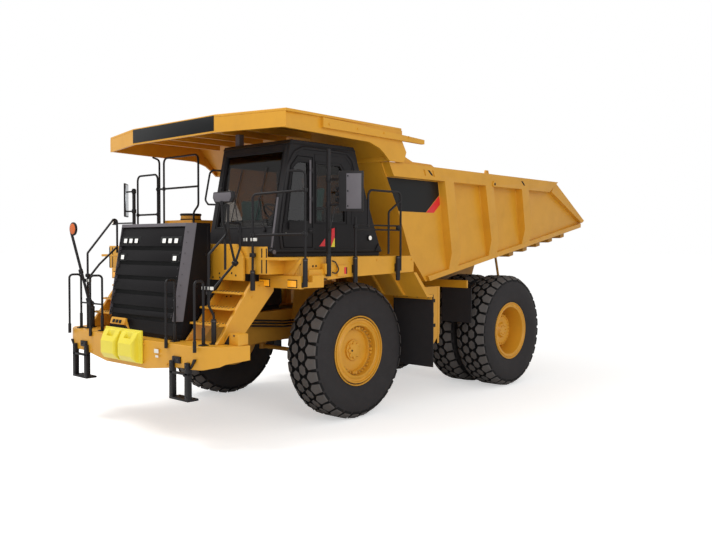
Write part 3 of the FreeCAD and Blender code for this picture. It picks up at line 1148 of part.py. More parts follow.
def body_side():
    """Left side sheet with its top rail, ribs, ledge, tail flange and the slots and eye of the rail."""
    top = RAIL_CAP_TOP
    sheet = WALL_OUTER[:4] + [(3860, top - 10), (TAIL_TOP, top - 10), (TAIL_TIP, TAIL_TIP_Z),
                              (TAIL_BOTTOM, TAIL_BOTTOM_Z)]
    pieces = [plate_side(sheet, INNER_Y, BODY_HALF_WIDTH)]
    rail = plate_side([(3850, top), (3725, RAIL_CAP_BOTTOM), (-1270, RAIL_CAP_BOTTOM), (TAIL_TOP + 30, top)],
                      INNER_Y + 5, RAIL_CAP_HALF_WIDTH)
    for x in (2890, 2650):
        low = RAIL_CAP_BOTTOM + 60
        slot = [(x, low), (x + 45, top - 60), (x + 85, top - 60), (x + 40, low)]
        rail = rail.cut(plate_side(slot, RAIL_CAP_HALF_WIDTH - 15, RAIL_CAP_HALF_WIDTH + 5))
    pieces.append(rail)
    gusset = [(2510, top - 5), (2640, top + 50), (3140, top + 55), (3480, top + 170), (3480, top - 5)]
    pieces.append(plate_side(gusset, INNER_Y + 5, BODY_HALF_WIDTH + 60))
    eye = plate_side([(1040, top - 5), (900, top - 5), (930, top + 70), (1010, top + 70)],
                     BODY_HALF_WIDTH + 60, BODY_HALF_WIDTH + 90)
    pieces.append(eye.cut(rod((970, BODY_HALF_WIDTH, top + 35), (970, BODY_HALF_WIDTH + 100, top + 35), 18)))
    pieces += [side_rib(top, foot) for top, foot in RIB_LINES]
    ledge = [(2650, floor_z(2650)), (TAIL_BOTTOM + 40, floor_z(TAIL_BOTTOM + 40)),
             (TAIL_BOTTOM + 40, floor_z(TAIL_BOTTOM + 40) + 90), (2700, floor_z(2700) + 90)]
    pieces.append(plate_side(ledge, INNER_Y + 5, BODY_HALF_WIDTH + 60))
    rake = [(TAIL_TOP + 5, top - 20), (TAIL_TIP + 25, TAIL_TIP_Z), (TAIL_TIP + 130, TAIL_TIP_Z - 50),
            (TAIL_TOP + 200, RAIL_CAP_BOTTOM + 20)]
    pieces.append(plate_side(rake, INNER_Y + 5, BODY_HALF_WIDTH + 90))
    return fuse(pieces)


def canopy_front_line(y):
    """Fore distance of the canopy's front edge at a distance y from the centre plane."""
    slant = (CANOPY_FRONT - CANOPY_CORNER) / (CANOPY_HALF_WIDTH - CANOPY_NOSE_HALF)
    return CANOPY_FRONT - max(y - CANOPY_NOSE_HALF, 0) * slant


def canopy():
    """Flat sheet over the cab, with lengthwise ribs below it."""
    rear_half = CANOPY_HALF_WIDTH - CANOPY_TAPER
    plan = [(CANOPY_REAR, -rear_half), (CANOPY_REAR, rear_half), (CANOPY_CORNER, CANOPY_HALF_WIDTH),
            (CANOPY_FRONT, CANOPY_NOSE_HALF), (CANOPY_FRONT, -CANOPY_NOSE_HALF),
            (CANOPY_CORNER, -CANOPY_HALF_WIDTH)]
    z0 = CANOPY_TOP - CANOPY_SHEET
    pieces = [plate_plan(plan, z0, CANOPY_TOP)]
    for y in (-1500, -900, -300, 300, 900, 1500):
        front = canopy_front_line(abs(y) + 25) - CANOPY_SHEET - 10
        pieces.append(box(4350, front, y - 25, y + 25, z0 - 90, z0 + 10))
    return fuse(pieces)


def canopy_skirt():
    """Deep front fascia, side sheets with the gusset to the body, and the sloping rear sheet."""
    z0 = CANOPY_TOP - CANOPY_SHEET
    t = 40
    low = CANOPY_TOP - CANOPY_FASCIA
    pieces = []
    front = [(CANOPY_FRONT, -CANOPY_NOSE_HALF), (CANOPY_FRONT, CANOPY_NOSE_HALF),
             (CANOPY_CORNER, CANOPY_HALF_WIDTH), (CANOPY_CORNER - 20, CANOPY_HALF_WIDTH - t),
             (CANOPY_FRONT - t, CANOPY_NOSE_HALF - 10), (CANOPY_FRONT - t, -CANOPY_NOSE_HALF + 10),
             (CANOPY_CORNER - 20, -CANOPY_HALF_WIDTH + t), (CANOPY_CORNER, -CANOPY_HALF_WIDTH)]
    pieces.append(plate_plan(front, low, z0))
    side = [(CANOPY_CORNER - 5, z0), (CANOPY_CORNER - 5, low), (4380, low - 35), (4150, low - 105),
            (4020, low - 185), (3900, RAIL_CAP_TOP + FIT_GAP), (3550, RAIL_CAP_TOP + FIT_GAP),
            (3490, CANOPY_TOP - 370), (CANOPY_REAR, CANOPY_TOP - 200), (CANOPY_REAR, z0)]
    side_y = CANOPY_HALF_WIDTH - CANOPY_TAPER - 30
    left = plate_side(side, side_y, side_y + t)
    strip = [(5420, CANOPY_TOP - 50), (5420, CANOPY_TOP - 190), (3090, CANOPY_TOP - 210),
             (3090, CANOPY_TOP - 140), (4950, CANOPY_TOP - 60)]
    outer = plate_side(strip, side_y + 30, CANOPY_HALF_WIDTH + 15)
    pieces += [left, mirrored(left), outer, mirrored(outer)]
    wall = [(3890, RAIL_CAP_TOP + 65), (4300, z0), (4240, z0), (3840, RAIL_CAP_TOP + 80)]
    pieces.append(plate_side(wall, -side_y - 10, side_y + 10))
    return fuse(pieces)


def rock_ejector():
    """Bar that hangs between the twin rear tyres."""
    y = REAR_PAIR_Y
    return fuse([rod((-400, y, floor_z(-400) - 30), (-560, y, 2080), 24),
                 box(-460, -340, y - 60, y + 60, floor_z(-400) - 60, floor_z(-400) - 15)])


def hoist_bracket():
    """Cheeks on the body beams that take the hoist rod's eye between them."""
    cheek = [(HOIST_HEAD_FORE - 150, HOIST_HEAD_Z + 260), (HOIST_HEAD_FORE + 190, HOIST_HEAD_Z + 200),
             (HOIST_HEAD_FORE + 110, HOIST_HEAD_Z - 70), (HOIST_HEAD_FORE - 70, HOIST_HEAD_Z - 70)]
    gap = HOIST_EYE_WIDTH / 2 + RUN_GAP
    inner = plate_side(cheek, HOIST_Y - gap - 40, HOIST_Y - gap)
    outer = plate_side(cheek, HOIST_Y + gap, HOIST_Y + gap + 40)
    return [inner, outer]


# ---------------------------------------------------------------- hoist cylinders
def hoist_frame():
    """Foot, head, unit direction and closed length of the hoist, in fore and z."""
    dx, dz = HOIST_HEAD_FORE - HOIST_FOOT_FORE, HOIST_HEAD_Z - HOIST_FOOT_Z
    length = math.hypot(dx, dz)
    return dx / length, dz / length, length


def along_hoist(distance):
    ux, uz, _ = hoist_frame()
    return (HOIST_FOOT_FORE + ux * distance, HOIST_Y, HOIST_FOOT_Z + uz * distance)


def hoist_eye(centre, radius, hole):
    half = HOIST_EYE_WIDTH / 2
    x, y, z = centre
    eye = rod((x, y - half, z), (x, y + half, z), radius)
    if hole:
        eye = eye.cut(rod((x, y - half - 5, z), (x, y + half + 5, z), hole))
    return eye


def hoist_cylinder():
    """Barrel, first stage and rod of the left two-stage hoist cylinder."""
    _, _, length = hoist_frame()
    barrel_top = length - 190
    stage_top = length - 130
    eye = hoist_eye(along_hoist(0), 82, 0)
    barrel = rod(along_hoist(60), along_hoist(barrel_top), HOIST_BARREL_RADIUS).fuse(eye)
    barrel = barrel.cut(rod(along_hoist(170), along_hoist(length), HOIST_STAGE_RADIUS + BORE_PLAY))
    half = HOIST_EYE_WIDTH / 2 + 5
    x, y, z = along_hoist(0)
    barrel = barrel.cut(rod((x, y - half, z), (x, y + half, z), HOIST_PIN_RADIUS + BORE_PLAY))
    stage = rod(along_hoist(190), along_hoist(stage_top), HOIST_STAGE_RADIUS)
    stage = stage.cut(rod(along_hoist(230), along_hoist(length), HOIST_ROD_RADIUS + BORE_PLAY))
    ram = rod(along_hoist(250), along_hoist(length - 20), HOIST_ROD_RADIUS)
    ram = ram.fuse(hoist_eye(along_hoist(length), 70, 0)).removeSplitter()
    return barrel, stage, ram


left_bracket = hoist_bracket()
floor = fuse([body_floor(), pivot_lugs(), mirrored(pivot_lugs())])
save("body_floor", fuse([floor] + left_bracket + [mirrored(piece) for piece in left_bracket]))
save("body_front_wall", body_front_wall())
save("body_sides", both_sides(body_side()))
save("canopy", canopy())
save("canopy_skirt", canopy_skirt())
save("rock_ejectors", both_sides(rock_ejector()))
BARREL, STAGE, RAM = hoist_cylinder()
save_pair("hoist_barrel", BARREL)
save_pair("hoist_stage", STAGE)
save_pair("hoist_rod", RAM)
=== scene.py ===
"""Dress the rigid dump truck: finishes, tread, fittings, studio and camera.

All lengths are metres in the truck's own frame: +X forward, +Y to its left,
+Z up, with the origin on the ground half way along the truck.
"""
from __future__ import annotations

import json
import logging
import math
from dataclasses import dataclass
from enum import Enum
from typing import Any, Iterable, Mapping, Sequence

import bmesh
import bpy
from mathutils import Euler, Matrix, Vector

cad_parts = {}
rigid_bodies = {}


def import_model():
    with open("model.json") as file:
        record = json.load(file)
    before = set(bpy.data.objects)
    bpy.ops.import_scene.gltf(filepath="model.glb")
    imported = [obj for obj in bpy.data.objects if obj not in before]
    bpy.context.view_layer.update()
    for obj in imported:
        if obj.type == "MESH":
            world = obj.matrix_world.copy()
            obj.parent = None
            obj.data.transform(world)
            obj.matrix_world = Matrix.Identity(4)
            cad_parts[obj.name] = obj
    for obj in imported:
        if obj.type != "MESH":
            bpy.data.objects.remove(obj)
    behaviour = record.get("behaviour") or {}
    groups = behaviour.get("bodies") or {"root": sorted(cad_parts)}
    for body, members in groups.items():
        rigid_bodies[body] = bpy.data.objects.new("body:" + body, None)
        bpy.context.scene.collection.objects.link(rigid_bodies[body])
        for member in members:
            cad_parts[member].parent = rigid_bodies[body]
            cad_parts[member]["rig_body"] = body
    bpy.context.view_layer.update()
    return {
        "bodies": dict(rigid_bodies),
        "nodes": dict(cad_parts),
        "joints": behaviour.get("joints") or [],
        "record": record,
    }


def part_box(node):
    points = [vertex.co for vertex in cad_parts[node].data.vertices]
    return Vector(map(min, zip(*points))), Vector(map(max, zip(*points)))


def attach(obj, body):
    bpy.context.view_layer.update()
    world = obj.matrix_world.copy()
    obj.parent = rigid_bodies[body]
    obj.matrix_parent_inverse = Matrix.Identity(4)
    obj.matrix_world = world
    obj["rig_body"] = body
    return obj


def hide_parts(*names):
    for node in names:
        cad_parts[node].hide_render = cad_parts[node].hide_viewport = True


LOG = logging.getLogger("dump_truck")
MILLIMETRE = 0.001
WAVE_BANDS = 6.0            # a wave node draws this many bands in one unit of its scale
REAR_AXLE = -2.205          # X of the rear axle; a length called "fore" runs forward from it
Point = tuple[float, float, float]


# ---------------------------------------------------------------- colours and nodes
def linear_colour(hex_code: str) -> tuple[float, float, float, float]:
    """Turn an sRGB hex colour into the linear colour that a shader takes.

    Args:
        hex_code: six hex digits, with or without a leading #.

    Returns:
        Linear red, green and blue, and an alpha of 1.
    """
    digits = hex_code.lstrip("#")
    channels = [int(digits[i:i + 2], 16) / 255 for i in (0, 2, 4)]
    linear = [c / 12.92 if c <= 0.04045 else ((c + 0.055) / 1.055) ** 2.4 for c in channels]
    return (linear[0], linear[1], linear[2], 1.0)


def pattern_scale(size_mm: float) -> float:
    """Scale of a noise or Voronoi node whose features are this many millimetres apart."""
    return 1.0 / (size_mm * MILLIMETRE)


def add_node(tree: bpy.types.NodeTree, kind: str, inputs: Mapping[str | int, Any] | None = None,
             **settings: Any) -> bpy.types.Node:
    """Add one shader node with its settings, values and links.

    Args:
        tree: the material's node tree.
        kind: the node's type name.
        inputs: socket name or index to a value, or to the output socket that feeds it.
        settings: the node's own properties.

    Returns:
        The new node.
    """
    node = tree.nodes.new(kind)
    for key, value in settings.items():
        setattr(node, key, value)
    for key, value in (inputs or {}).items():
        if isinstance(value, bpy.types.NodeSocket):
            tree.links.new(value, node.inputs[key])
        else:
            node.inputs[key].default_value = value
    return node


def blank_material(name: str) -> tuple[bpy.types.Material, bpy.types.NodeTree]:
    """Make a material with an empty node tree.

    Args:
        name: the finish's plain name.

    Returns:
        The material and its tree.
    """
    material = bpy.data.materials.new(name)
    material.use_nodes = True
    material.node_tree.nodes.clear()
    return material, material.node_tree


class Recipe:
    """The node tree of one material while it is being filled."""

    def __init__(self, name: str) -> None:
        """Start an empty tree whose patterns lie on the object's own coordinates."""
        self.material, self.tree = blank_material(name)
        self.place = add_node(self.tree, "ShaderNodeTexCoord").outputs["Object"]

    def pattern(self, kind: str, size_mm: float, inputs: Mapping[str, Any] | None = None,
                output: str = "Fac", **settings: Any) -> bpy.types.NodeSocket:
        """Add a texture node.

        Args:
            kind: the node's type name.
            size_mm: how far apart its features are.
            inputs: its other values.
            output: which output is wanted.
            settings: the node's own properties.

        Returns:
            The wanted output.
        """
        values = {"Vector": self.place, "Scale": pattern_scale(size_mm), **(inputs or {})}
        return add_node(self.tree, kind, values, **settings).outputs[output]

    def spread(self, source: bpy.types.NodeSocket, low: float, high: float,
               inputs: Mapping[str, Any] | None = None) -> bpy.types.NodeSocket:
        """Map a pattern onto the values from low to high."""
        values = {"Value": source, "To Min": low, "To Max": high, **(inputs or {})}
        return add_node(self.tree, "ShaderNodeMapRange", values).outputs["Result"]

    def blend(self, share: bpy.types.NodeSocket, base: str, shade: str) -> bpy.types.NodeSocket:
        """Mix two hex colours by a share."""
        values = {"Factor": share, "A": linear_colour(base), "B": linear_colour(shade)}
        return add_node(self.tree, "ShaderNodeMix", values, data_type="RGBA").outputs["Result"]

    def bump(self, height: bpy.types.NodeSocket, strength: float,
             depth_mm: float) -> bpy.types.NodeSocket:
        """Turn a pattern into relief of a depth in millimetres."""
        values = {"Height": height, "Strength": strength, "Distance": depth_mm * MILLIMETRE}
        return add_node(self.tree, "ShaderNodeBump", values).outputs["Normal"]

    def close(self, surface: bpy.types.NodeSocket) -> bpy.types.Material:
        """Lead a surface to the output and return the material."""
        add_node(self.tree, "ShaderNodeOutputMaterial", {"Surface": surface})
        return self.material

    def principled(self, inputs: Mapping[str, Any]) -> bpy.types.Material:
        """Close the tree with a principled shader and return the material."""
        return self.close(add_node(self.tree, "ShaderNodeBsdfPrincipled", inputs).outputs["BSDF"])


@dataclass(frozen=True)
class Enamel:
    """Sprayed machine enamel over steel plate.

    The spray leaves a fine orange peel that breaks up the highlights, and dust
    settles as slightly duller, darker clouds.
    """

    name: str
    base: str
    shade: str
    roughness: float = 0.38
    coat: float = 0.25
    cloud_mm: float = 420.0
    cloud_share: float = 0.35
    peel_mm: float = 6.0        # the real peel is 1 to 2 mm; drawn coarser so that it shows
    peel_depth_mm: float = 0.25
    specular: float = 0.5

    def build(self) -> bpy.types.Material:
        """Return the enamel's material."""
        recipe = Recipe(self.name)
        clouds = recipe.pattern("ShaderNodeTexNoise", self.cloud_mm, {"Detail": 6.0, "Roughness": 0.62})
        share = recipe.spread(clouds, 0.0, self.cloud_share, {"From Min": 0.42, "From Max": 0.72})
        tint = recipe.blend(share, self.base, self.shade)
        peel = recipe.pattern("ShaderNodeTexNoise", self.peel_mm, {"Detail": 2.0})
        relief = recipe.bump(peel, 0.5, self.peel_depth_mm)
        gloss = recipe.spread(clouds, self.roughness - 0.06, self.roughness + 0.14)
        return recipe.principled({
            "Base Color": tint, "Roughness": gloss, "Normal": relief,
            "Specular IOR Level": self.specular,
            "Coat Weight": self.coat, "Coat Roughness": 0.18})


@dataclass(frozen=True)
class Rubber:
    """Vulcanised tyre or sheet rubber: matt, with a fine mould grain and dusty wear."""

    name: str
    base: str
    dust: str
    roughness: float = 0.78
    grain_mm: float = 9.0       # the mould grain is under 1 mm; drawn coarser so that it shows
    grain_depth_mm: float = 0.8
    dust_mm: float = 160.0
    dust_share: float = 0.5

    def build(self) -> bpy.types.Material:
        """Return the rubber's material."""
        recipe = Recipe(self.name)
        dust = recipe.pattern("ShaderNodeTexNoise", self.dust_mm, {"Detail": 8.0, "Roughness": 0.7})
        share = recipe.spread(dust, 0.0, self.dust_share, {"From Min": 0.35, "From Max": 0.75})
        tint = recipe.blend(share, self.base, self.dust)
        grain = recipe.pattern("ShaderNodeTexNoise", self.grain_mm, {"Detail": 4.0})
        relief = recipe.bump(grain, 0.6, self.grain_depth_mm)
        return recipe.principled({
            "Base Color": tint, "Roughness": self.roughness, "Normal": relief,
            "Specular IOR Level": 0.35})


@dataclass(frozen=True)
class BareMetal:
    """Machined, zinc-plated or hard-chromed steel, with fine turning marks in its gloss."""

    name: str
    base: str
    roughness: float = 0.3
    mark_mm: float = 3.0

    def build(self) -> bpy.types.Material:
        """Return the metal's material."""
        recipe = Recipe(self.name)
        marks = recipe.pattern("ShaderNodeTexNoise", self.mark_mm, {"Detail": 3.0})
        gloss = recipe.spread(marks, self.roughness - 0.08, self.roughness + 0.12)
        return recipe.principled({
            "Base Color": linear_colour(self.base), "Metallic": 1.0, "Roughness": gloss})


@dataclass(frozen=True)
class Glazing:
    """Tinted safety glass: a grey body that lamps shine through, with a thin sharp reflection."""

    name: str
    tint: str
    mirror_share: float = 0.075
    roughness: float = 0.02
    film_mm: float = 300.0

    def build(self) -> bpy.types.Material:
        """Return the glass's material."""
        recipe = Recipe(self.name)
        film = recipe.pattern("ShaderNodeTexNoise", self.film_mm, {"Detail": 3.0})
        gloss = recipe.spread(film, self.roughness, self.roughness + 0.05)
        body = add_node(recipe.tree, "ShaderNodeBsdfTransparent", {"Color": linear_colour(self.tint)})
        mirror = add_node(recipe.tree, "ShaderNodeBsdfGlossy", {"Roughness": gloss})
        pane = add_node(recipe.tree, "ShaderNodeMixShader", {
            "Fac": self.mirror_share, 1: body.outputs["BSDF"], 2: mirror.outputs["BSDF"]})
        path = add_node(recipe.tree, "ShaderNodeLightPath")
        open_way = add_node(recipe.tree, "ShaderNodeBsdfTransparent",
                            {"Color": linear_colour("#FFFFFF")})
        shader = add_node(recipe.tree, "ShaderNodeMixShader", {
            "Fac": path.outputs["Is Shadow Ray"], 1: pane.outputs["Shader"],
            2: open_way.outputs["BSDF"]})
        return recipe.close(shader.outputs["Shader"])


@dataclass(frozen=True)
class Lens:
    """Moulded acrylic lamp lens over a bright reflector, ribbed on its inner face, with a painted glow
    for the reflector's shine.
    """

    name: str
    base: str
    rib_mm: float = 12.0
    glow: float = 0.25

    def build(self) -> bpy.types.Material:
        """Return the lens's material."""
        recipe = Recipe(self.name)
        ribs = recipe.pattern("ShaderNodeTexWave", WAVE_BANDS * self.rib_mm, {"Distortion": 0.0},
                              bands_direction="Y")
        relief = recipe.bump(ribs, 0.4, 1.5)
        # the emission is painted light: a glow that stands for the reflector's shine
        colour = linear_colour(self.base)
        return recipe.principled({
            "Base Color": colour, "Roughness": 0.12, "Normal": relief, "Coat Weight": 0.6,
            "Emission Color": colour, "Emission Strength": self.glow})


@dataclass(frozen=True)
class Moulding:
    """Injection-moulded or vacuum-formed plastic with a leather-like grain."""

    name: str
    base: str
    roughness: float = 0.55
    grain_mm: float = 5.0

    def build(self) -> bpy.types.Material:
        """Return the plastic's material."""
        recipe = Recipe(self.name)
        grain = recipe.pattern("ShaderNodeTexVoronoi", self.grain_mm, output="Distance")
        relief = recipe.bump(grain, 0.3, 0.4)
        return recipe.principled({
            "Base Color": linear_colour(self.base), "Roughness": self.roughness, "Normal": relief})


@dataclass(frozen=True)
class Cloth:
    """Woven seat cloth with a soft sheen."""

    name: str
    base: str
    thread_mm: float = 6.0      # real threads are 1 mm apart; drawn coarser so that they show

    def build(self) -> bpy.types.Material:
        """Return the cloth's material."""
        recipe = Recipe(self.name)
        weave = recipe.pattern("ShaderNodeTexWave", WAVE_BANDS * self.thread_mm, {"Distortion": 1.5},
                               bands_direction="DIAGONAL")
        relief = recipe.bump(weave, 0.5, 0.8)
        return recipe.principled({
            "Base Color": linear_colour(self.base), "Roughness": 0.9, "Normal": relief,
            "Sheen Weight": 0.35, "Sheen Roughness": 0.4})


class Finish(Enum):
    """Every finish on the truck."""

    YELLOW = Enamel("yellow_enamel", "#DC9E28", "#BC8420", coat=0.1)
    BUFFER = Enamel("lemon_enamel", "#EFDD3A", "#D9C32A", roughness=0.32)
    BLACK = Enamel("black_enamel", "#191719", "#232022", roughness=0.42, coat=0.0, cloud_share=0.5,
                   specular=0.3)
    NOSE_BLACK = Enamel("satin_nose_enamel", "#131113", "#1A181A", roughness=0.45, coat=0.0,
                        cloud_share=0.5,
                        specular=0.14)
    GREY = Enamel("grey_enamel", "#625D62", "#524E52", roughness=0.45, coat=0.0)
    # yellow enamel painted darker: painted shade on the parts under and between the truck's parts, and
    # in the rim's recesses
    CHASSIS = Enamel("chassis_enamel", "#B8842A", "#7E581C", roughness=0.5, coat=0.0)
    GLOSS_BLACK = Enamel("black_panel_film", "#0F1011", "#151617", roughness=0.34, coat=0.0,
                         cloud_share=0.2,
                         specular=0.3)
    RED = Enamel("red_stripe_enamel", "#E0262F", "#C01D27", roughness=0.35)
    # near-black: painted shade inside holes, slots, gaps and recesses, and the matt black of dials,
    # small marks and some bolt heads
    VOID = Enamel("matt_black_primer", "#09090A", "#0D0D0E", roughness=0.8, coat=0.0, cloud_share=0.2)
    PALE = Enamel("pale_reflector_film", "#E9E7E0", "#D8D6CE", roughness=0.3)
    ORANGE = Enamel("orange_enamel", "#D8671C", "#B9521A", roughness=0.45)
    TREAD = Rubber("tread_rubber", "#575351", "#68625F")
    # near-black rubber: painted shade on the lug sides and the groove floors
    GROOVE = Rubber("groove_rubber", "#0E0D0E", "#151313", dust_share=0.3)
    SIDEWALL = Rubber("sidewall_rubber", "#2C292A", "#363334", dust_share=0.6, grain_depth_mm=0.4)
    FLAP = Rubber("flap_rubber", "#232123", "#2E2B2D", grain_depth_mm=0.4)
    SEAL = Rubber("seal_rubber", "#1A181A", "#242224", roughness=0.6)
    CHROME = BareMetal("hard_chrome", "#C9C9CC", roughness=0.14)
    ZINC = BareMetal("zinc_plate", "#B9B4A6", roughness=0.34)
    DARK_ZINC = BareMetal("blackened_bolt_steel", "#5B5758", roughness=0.42)
    GLASS = Glazing("cab_glass", "#CCC9C6", mirror_share=0.04)
    DOOR_GLASS = Glazing("door_glass", "#A9A7AC", mirror_share=0.10)
    GLASS_EDGE = Enamel("bonded_glass_edge", "#38353A", "#3F3C40", roughness=0.2, coat=0.3,
                        cloud_share=0.2)
    MIRROR = BareMetal("mirror_face", "#D2D6DA", roughness=0.06, mark_mm=200.0)
    CLEAR_LENS = Lens("clear_lens", "#F4F2EC")
    AMBER_LENS = Lens("amber_lens", "#F2A51E", glow=0.35)
    SEAT = Cloth("seat_cloth", "#4B817C")
    DASH = Moulding("dash_plastic", "#2B2B2D")
    HOSE = Moulding("hose_sleeve", "#1C1B1D", roughness=0.6, grain_mm=8.0)


_MADE: dict[str, bpy.types.Material] = {}


def finish_material(finish: Finish) -> bpy.types.Material:
    """Return the finish's material, made once.

    Args:
        finish: which finish.
    """
    if finish.name not in _MADE:
        _MADE[finish.name] = finish.value.build()
    return _MADE[finish.name]


# ---------------------------------------------------------------- making meshes
def side_view(outline: Iterable[tuple[float, float]], y: float) -> list[Point]:
    """Stand (fore, z) corners in the upright plane at y."""
    return [(fore, y, z) for fore, z in outline]


def front_view(outline: Iterable[tuple[float, float]], fore: float, sign: int = 1) -> list[Point]:
    """Stand (y, z) corners across the truck at a fore distance, mirrored where sign is -1."""
    return [(fore, sign * y, z) for y, z in outline]


CLOTH_FRAMES = 20           # frames that a pad swells for
PAD_PRESSURE = 4.0          # air pressure in a pad, in the cloth solver's units
SHARP_DEG = 30.0            # edges sharper than this are rounded
ON_AXIS = 1e-5              # a point nearer to an axis than this lies on it


def faces_at(verts: Iterable[bmesh.types.BMVert]) -> list[bmesh.types.BMFace]:
    """Return every face that touches one of the vertices."""
    return list({face for vert in verts for face in vert.link_faces})


def round_edges(mesh: bmesh.types.BMesh, edges: Iterable[bmesh.types.BMEdge], width: float,
                segments: int = 2) -> list[bmesh.types.BMFace]:
    """Bevel edges with rows of faces, and return the new faces."""
    return bmesh.ops.bevel(mesh, geom=list(edges), offset=width, offset_type="OFFSET", segments=segments,
                           profile=0.5, affect="EDGES", clamp_overlap=True, material=-1)["faces"]


def extrude(mesh: bmesh.types.BMesh, faces: Sequence[bmesh.types.BMFace]) -> list[bmesh.types.BMVert]:
    """Extrude faces by nothing yet, and return the vertices to be moved."""
    grown = bmesh.ops.extrude_face_region(mesh, geom=faces, use_keep_orig=True)["geom"]
    return [part for part in grown if isinstance(part, bmesh.types.BMVert)]


def mesh_data(mesh: bmesh.types.BMesh, name: str) -> bpy.types.Mesh:
    """Store a bmesh as named mesh data and free it."""
    data = bpy.data.meshes.new(name)
    mesh.to_mesh(data)
    mesh.free()
    return data


def add_object(name: str, data: Any) -> bpy.types.Object:
    """Put an object with its data in the scene and return it."""
    made = bpy.data.objects.new(name, data)
    bpy.context.scene.collection.objects.link(made)
    return made


class Shape:
    """A bmesh being shaped, in the truck's frame, with one finish per face."""

    def __init__(self, origin_x: float = REAR_AXLE) -> None:
        """Start empty.

        Args:
            origin_x: X of the point that the shape's own X values are measured from.
        """
        self.mesh = bmesh.new()
        self.origin_x = origin_x
        self.finishes: list[Finish] = []

    def _slot(self, finish: Finish) -> int:
        """Return the finish's material index, adding it if it is new."""
        if finish not in self.finishes:
            self.finishes.append(finish)
        return self.finishes.index(finish)

    def paint(self, faces: Iterable[bmesh.types.BMFace], finish: Finish) -> None:
        """Give faces a finish."""
        index = self._slot(finish)
        for face in faces:
            face.material_index = index

    def _round(self, faces: Sequence[bmesh.types.BMFace], width: float) -> None:
        """Bevel the sharp edges among faces by a width; nothing happens at 0."""
        if width > 0:
            round_edges(self.mesh, {
                edge for face in faces for edge in face.edges
                if len(edge.link_faces) == 2 and edge.calc_face_angle(0.0) > math.radians(SHARP_DEG)},
                        width)

    def block(self, low: Point, high: Point, finish: Finish, bevel: float = 0.0,
              turn: Euler | None = None) -> None:
        """Add a box between two corners.

        Args:
            low: lowest corner.
            high: highest corner.
            finish: the box's finish.
            bevel: width of its rounded edges.
            turn: rotation about the box's own centre.
        """
        made = bmesh.ops.create_cube(self.mesh, size=1.0)["verts"]
        size = [b - a for a, b in zip(low, high)]
        centre = [(a + b) / 2 for a, b in zip(low, high)]
        spin = turn.to_matrix().to_4x4() if turn else Matrix()
        place = Matrix.Translation(centre) @ spin @ Matrix.Diagonal((*size, 1.0))
        bmesh.ops.transform(self.mesh, matrix=place, verts=made)
        faces = faces_at(made)
        self.paint(faces, finish)
        self._round(faces, bevel)

    def rod(self, start: Point, end: Point, radius: float, finish: Finish, sides: int = 20,
            bevel: float = 0.0) -> None:
        """Add a round bar between two points.

        Args:
            start: centre of one end.
            end: centre of the other end.
            radius: the bar's radius.
            finish: the bar's finish.
            sides: how many flat sides it has.
            bevel: width of its rounded end edges.
        """
        a, b = Vector(start), Vector(end)
        made = bmesh.ops.create_cone(self.mesh, cap_ends=True, segments=sides, radius1=radius,
                                     radius2=radius, depth=(b - a).length)["verts"]
        place = Matrix.Translation((a + b) / 2) @ (b - a).to_track_quat("Z", "Y").to_matrix().to_4x4()
        bmesh.ops.transform(self.mesh, matrix=place, verts=made)
        faces = faces_at(made)
        self.paint(faces, finish)
        if bevel > 0:
            caps = [face for face in faces if len(face.verts) > 4]
            round_edges(self.mesh, {edge for face in caps for edge in face.edges}, bevel)

    def ball(self, centre: Point, radius: float, finish: Finish) -> None:
        """Add a ball about a centre."""
        made = bmesh.ops.create_uvsphere(self.mesh, u_segments=20, v_segments=12, radius=radius)["verts"]
        bmesh.ops.translate(self.mesh, vec=centre, verts=made)
        self.paint(faces_at(made), finish)

    def plate(self, outline: Sequence[Point], depth: Point, finish: Finish, bevel: float = 0.0) -> None:
        """Add a flat outline pushed along a depth.

        Args:
            outline: corners in order, all in one plane.
            depth: vector that the outline is extruded by.
            finish: the plate's finish.
            bevel: width of its rounded edges.
        """
        verts = [self.mesh.verts.new(point) for point in outline]
        base = self.mesh.faces.new(verts)
        base.normal_update()
        if base.normal.dot(Vector(depth)) > 0:
            base.normal_flip()
        tops = extrude(self.mesh, [base])
        bmesh.ops.translate(self.mesh, vec=depth, verts=tops)
        faces = faces_at(verts + tops)
        bmesh.ops.recalc_face_normals(self.mesh, faces=faces)
        self.paint(faces, finish)
        self._round(faces, bevel)

    def turned(self, profile: Sequence[tuple[float, float]], centre: Point, finish: Finish,
               steps: int = 72, outward: float = 1.0) -> list[bmesh.types.BMFace]:
        """Spin a profile about an axis that runs along Y.

        Args:
            profile: (distance along Y from the centre, radius) points, first to last.
            centre: a point on the axis.
            finish: the surface's finish.
            steps: divisions in the full turn.
            outward: 1 for a profile seen from +Y, -1 for its mirror image.

        Returns:
            The new faces.
        """
        x, y, z = centre
        verts = [self.mesh.verts.new((x, y + outward * along, z + radius)) for along, radius in profile]
        edges = [self.mesh.edges.new(pair) for pair in zip(verts, verts[1:])]
        before = set(self.mesh.faces)
        bmesh.ops.spin(self.mesh, geom=verts + edges, cent=centre, axis=(0.0, 1.0, 0.0),
                       dvec=(0.0, 0.0, 0.0),
                       angle=math.tau, steps=steps, use_merge=True)
        faces = [face for face in self.mesh.faces if face not in before]
        on_axis = list({vert for face in faces for vert in face.verts
                        if math.hypot(vert.co.x - x, vert.co.z - z) < ON_AXIS})
        bmesh.ops.remove_doubles(self.mesh, verts=on_axis, dist=1e-4)
        faces = [face for face in self.mesh.faces if face not in before]
        self.paint(faces, finish)
        return faces

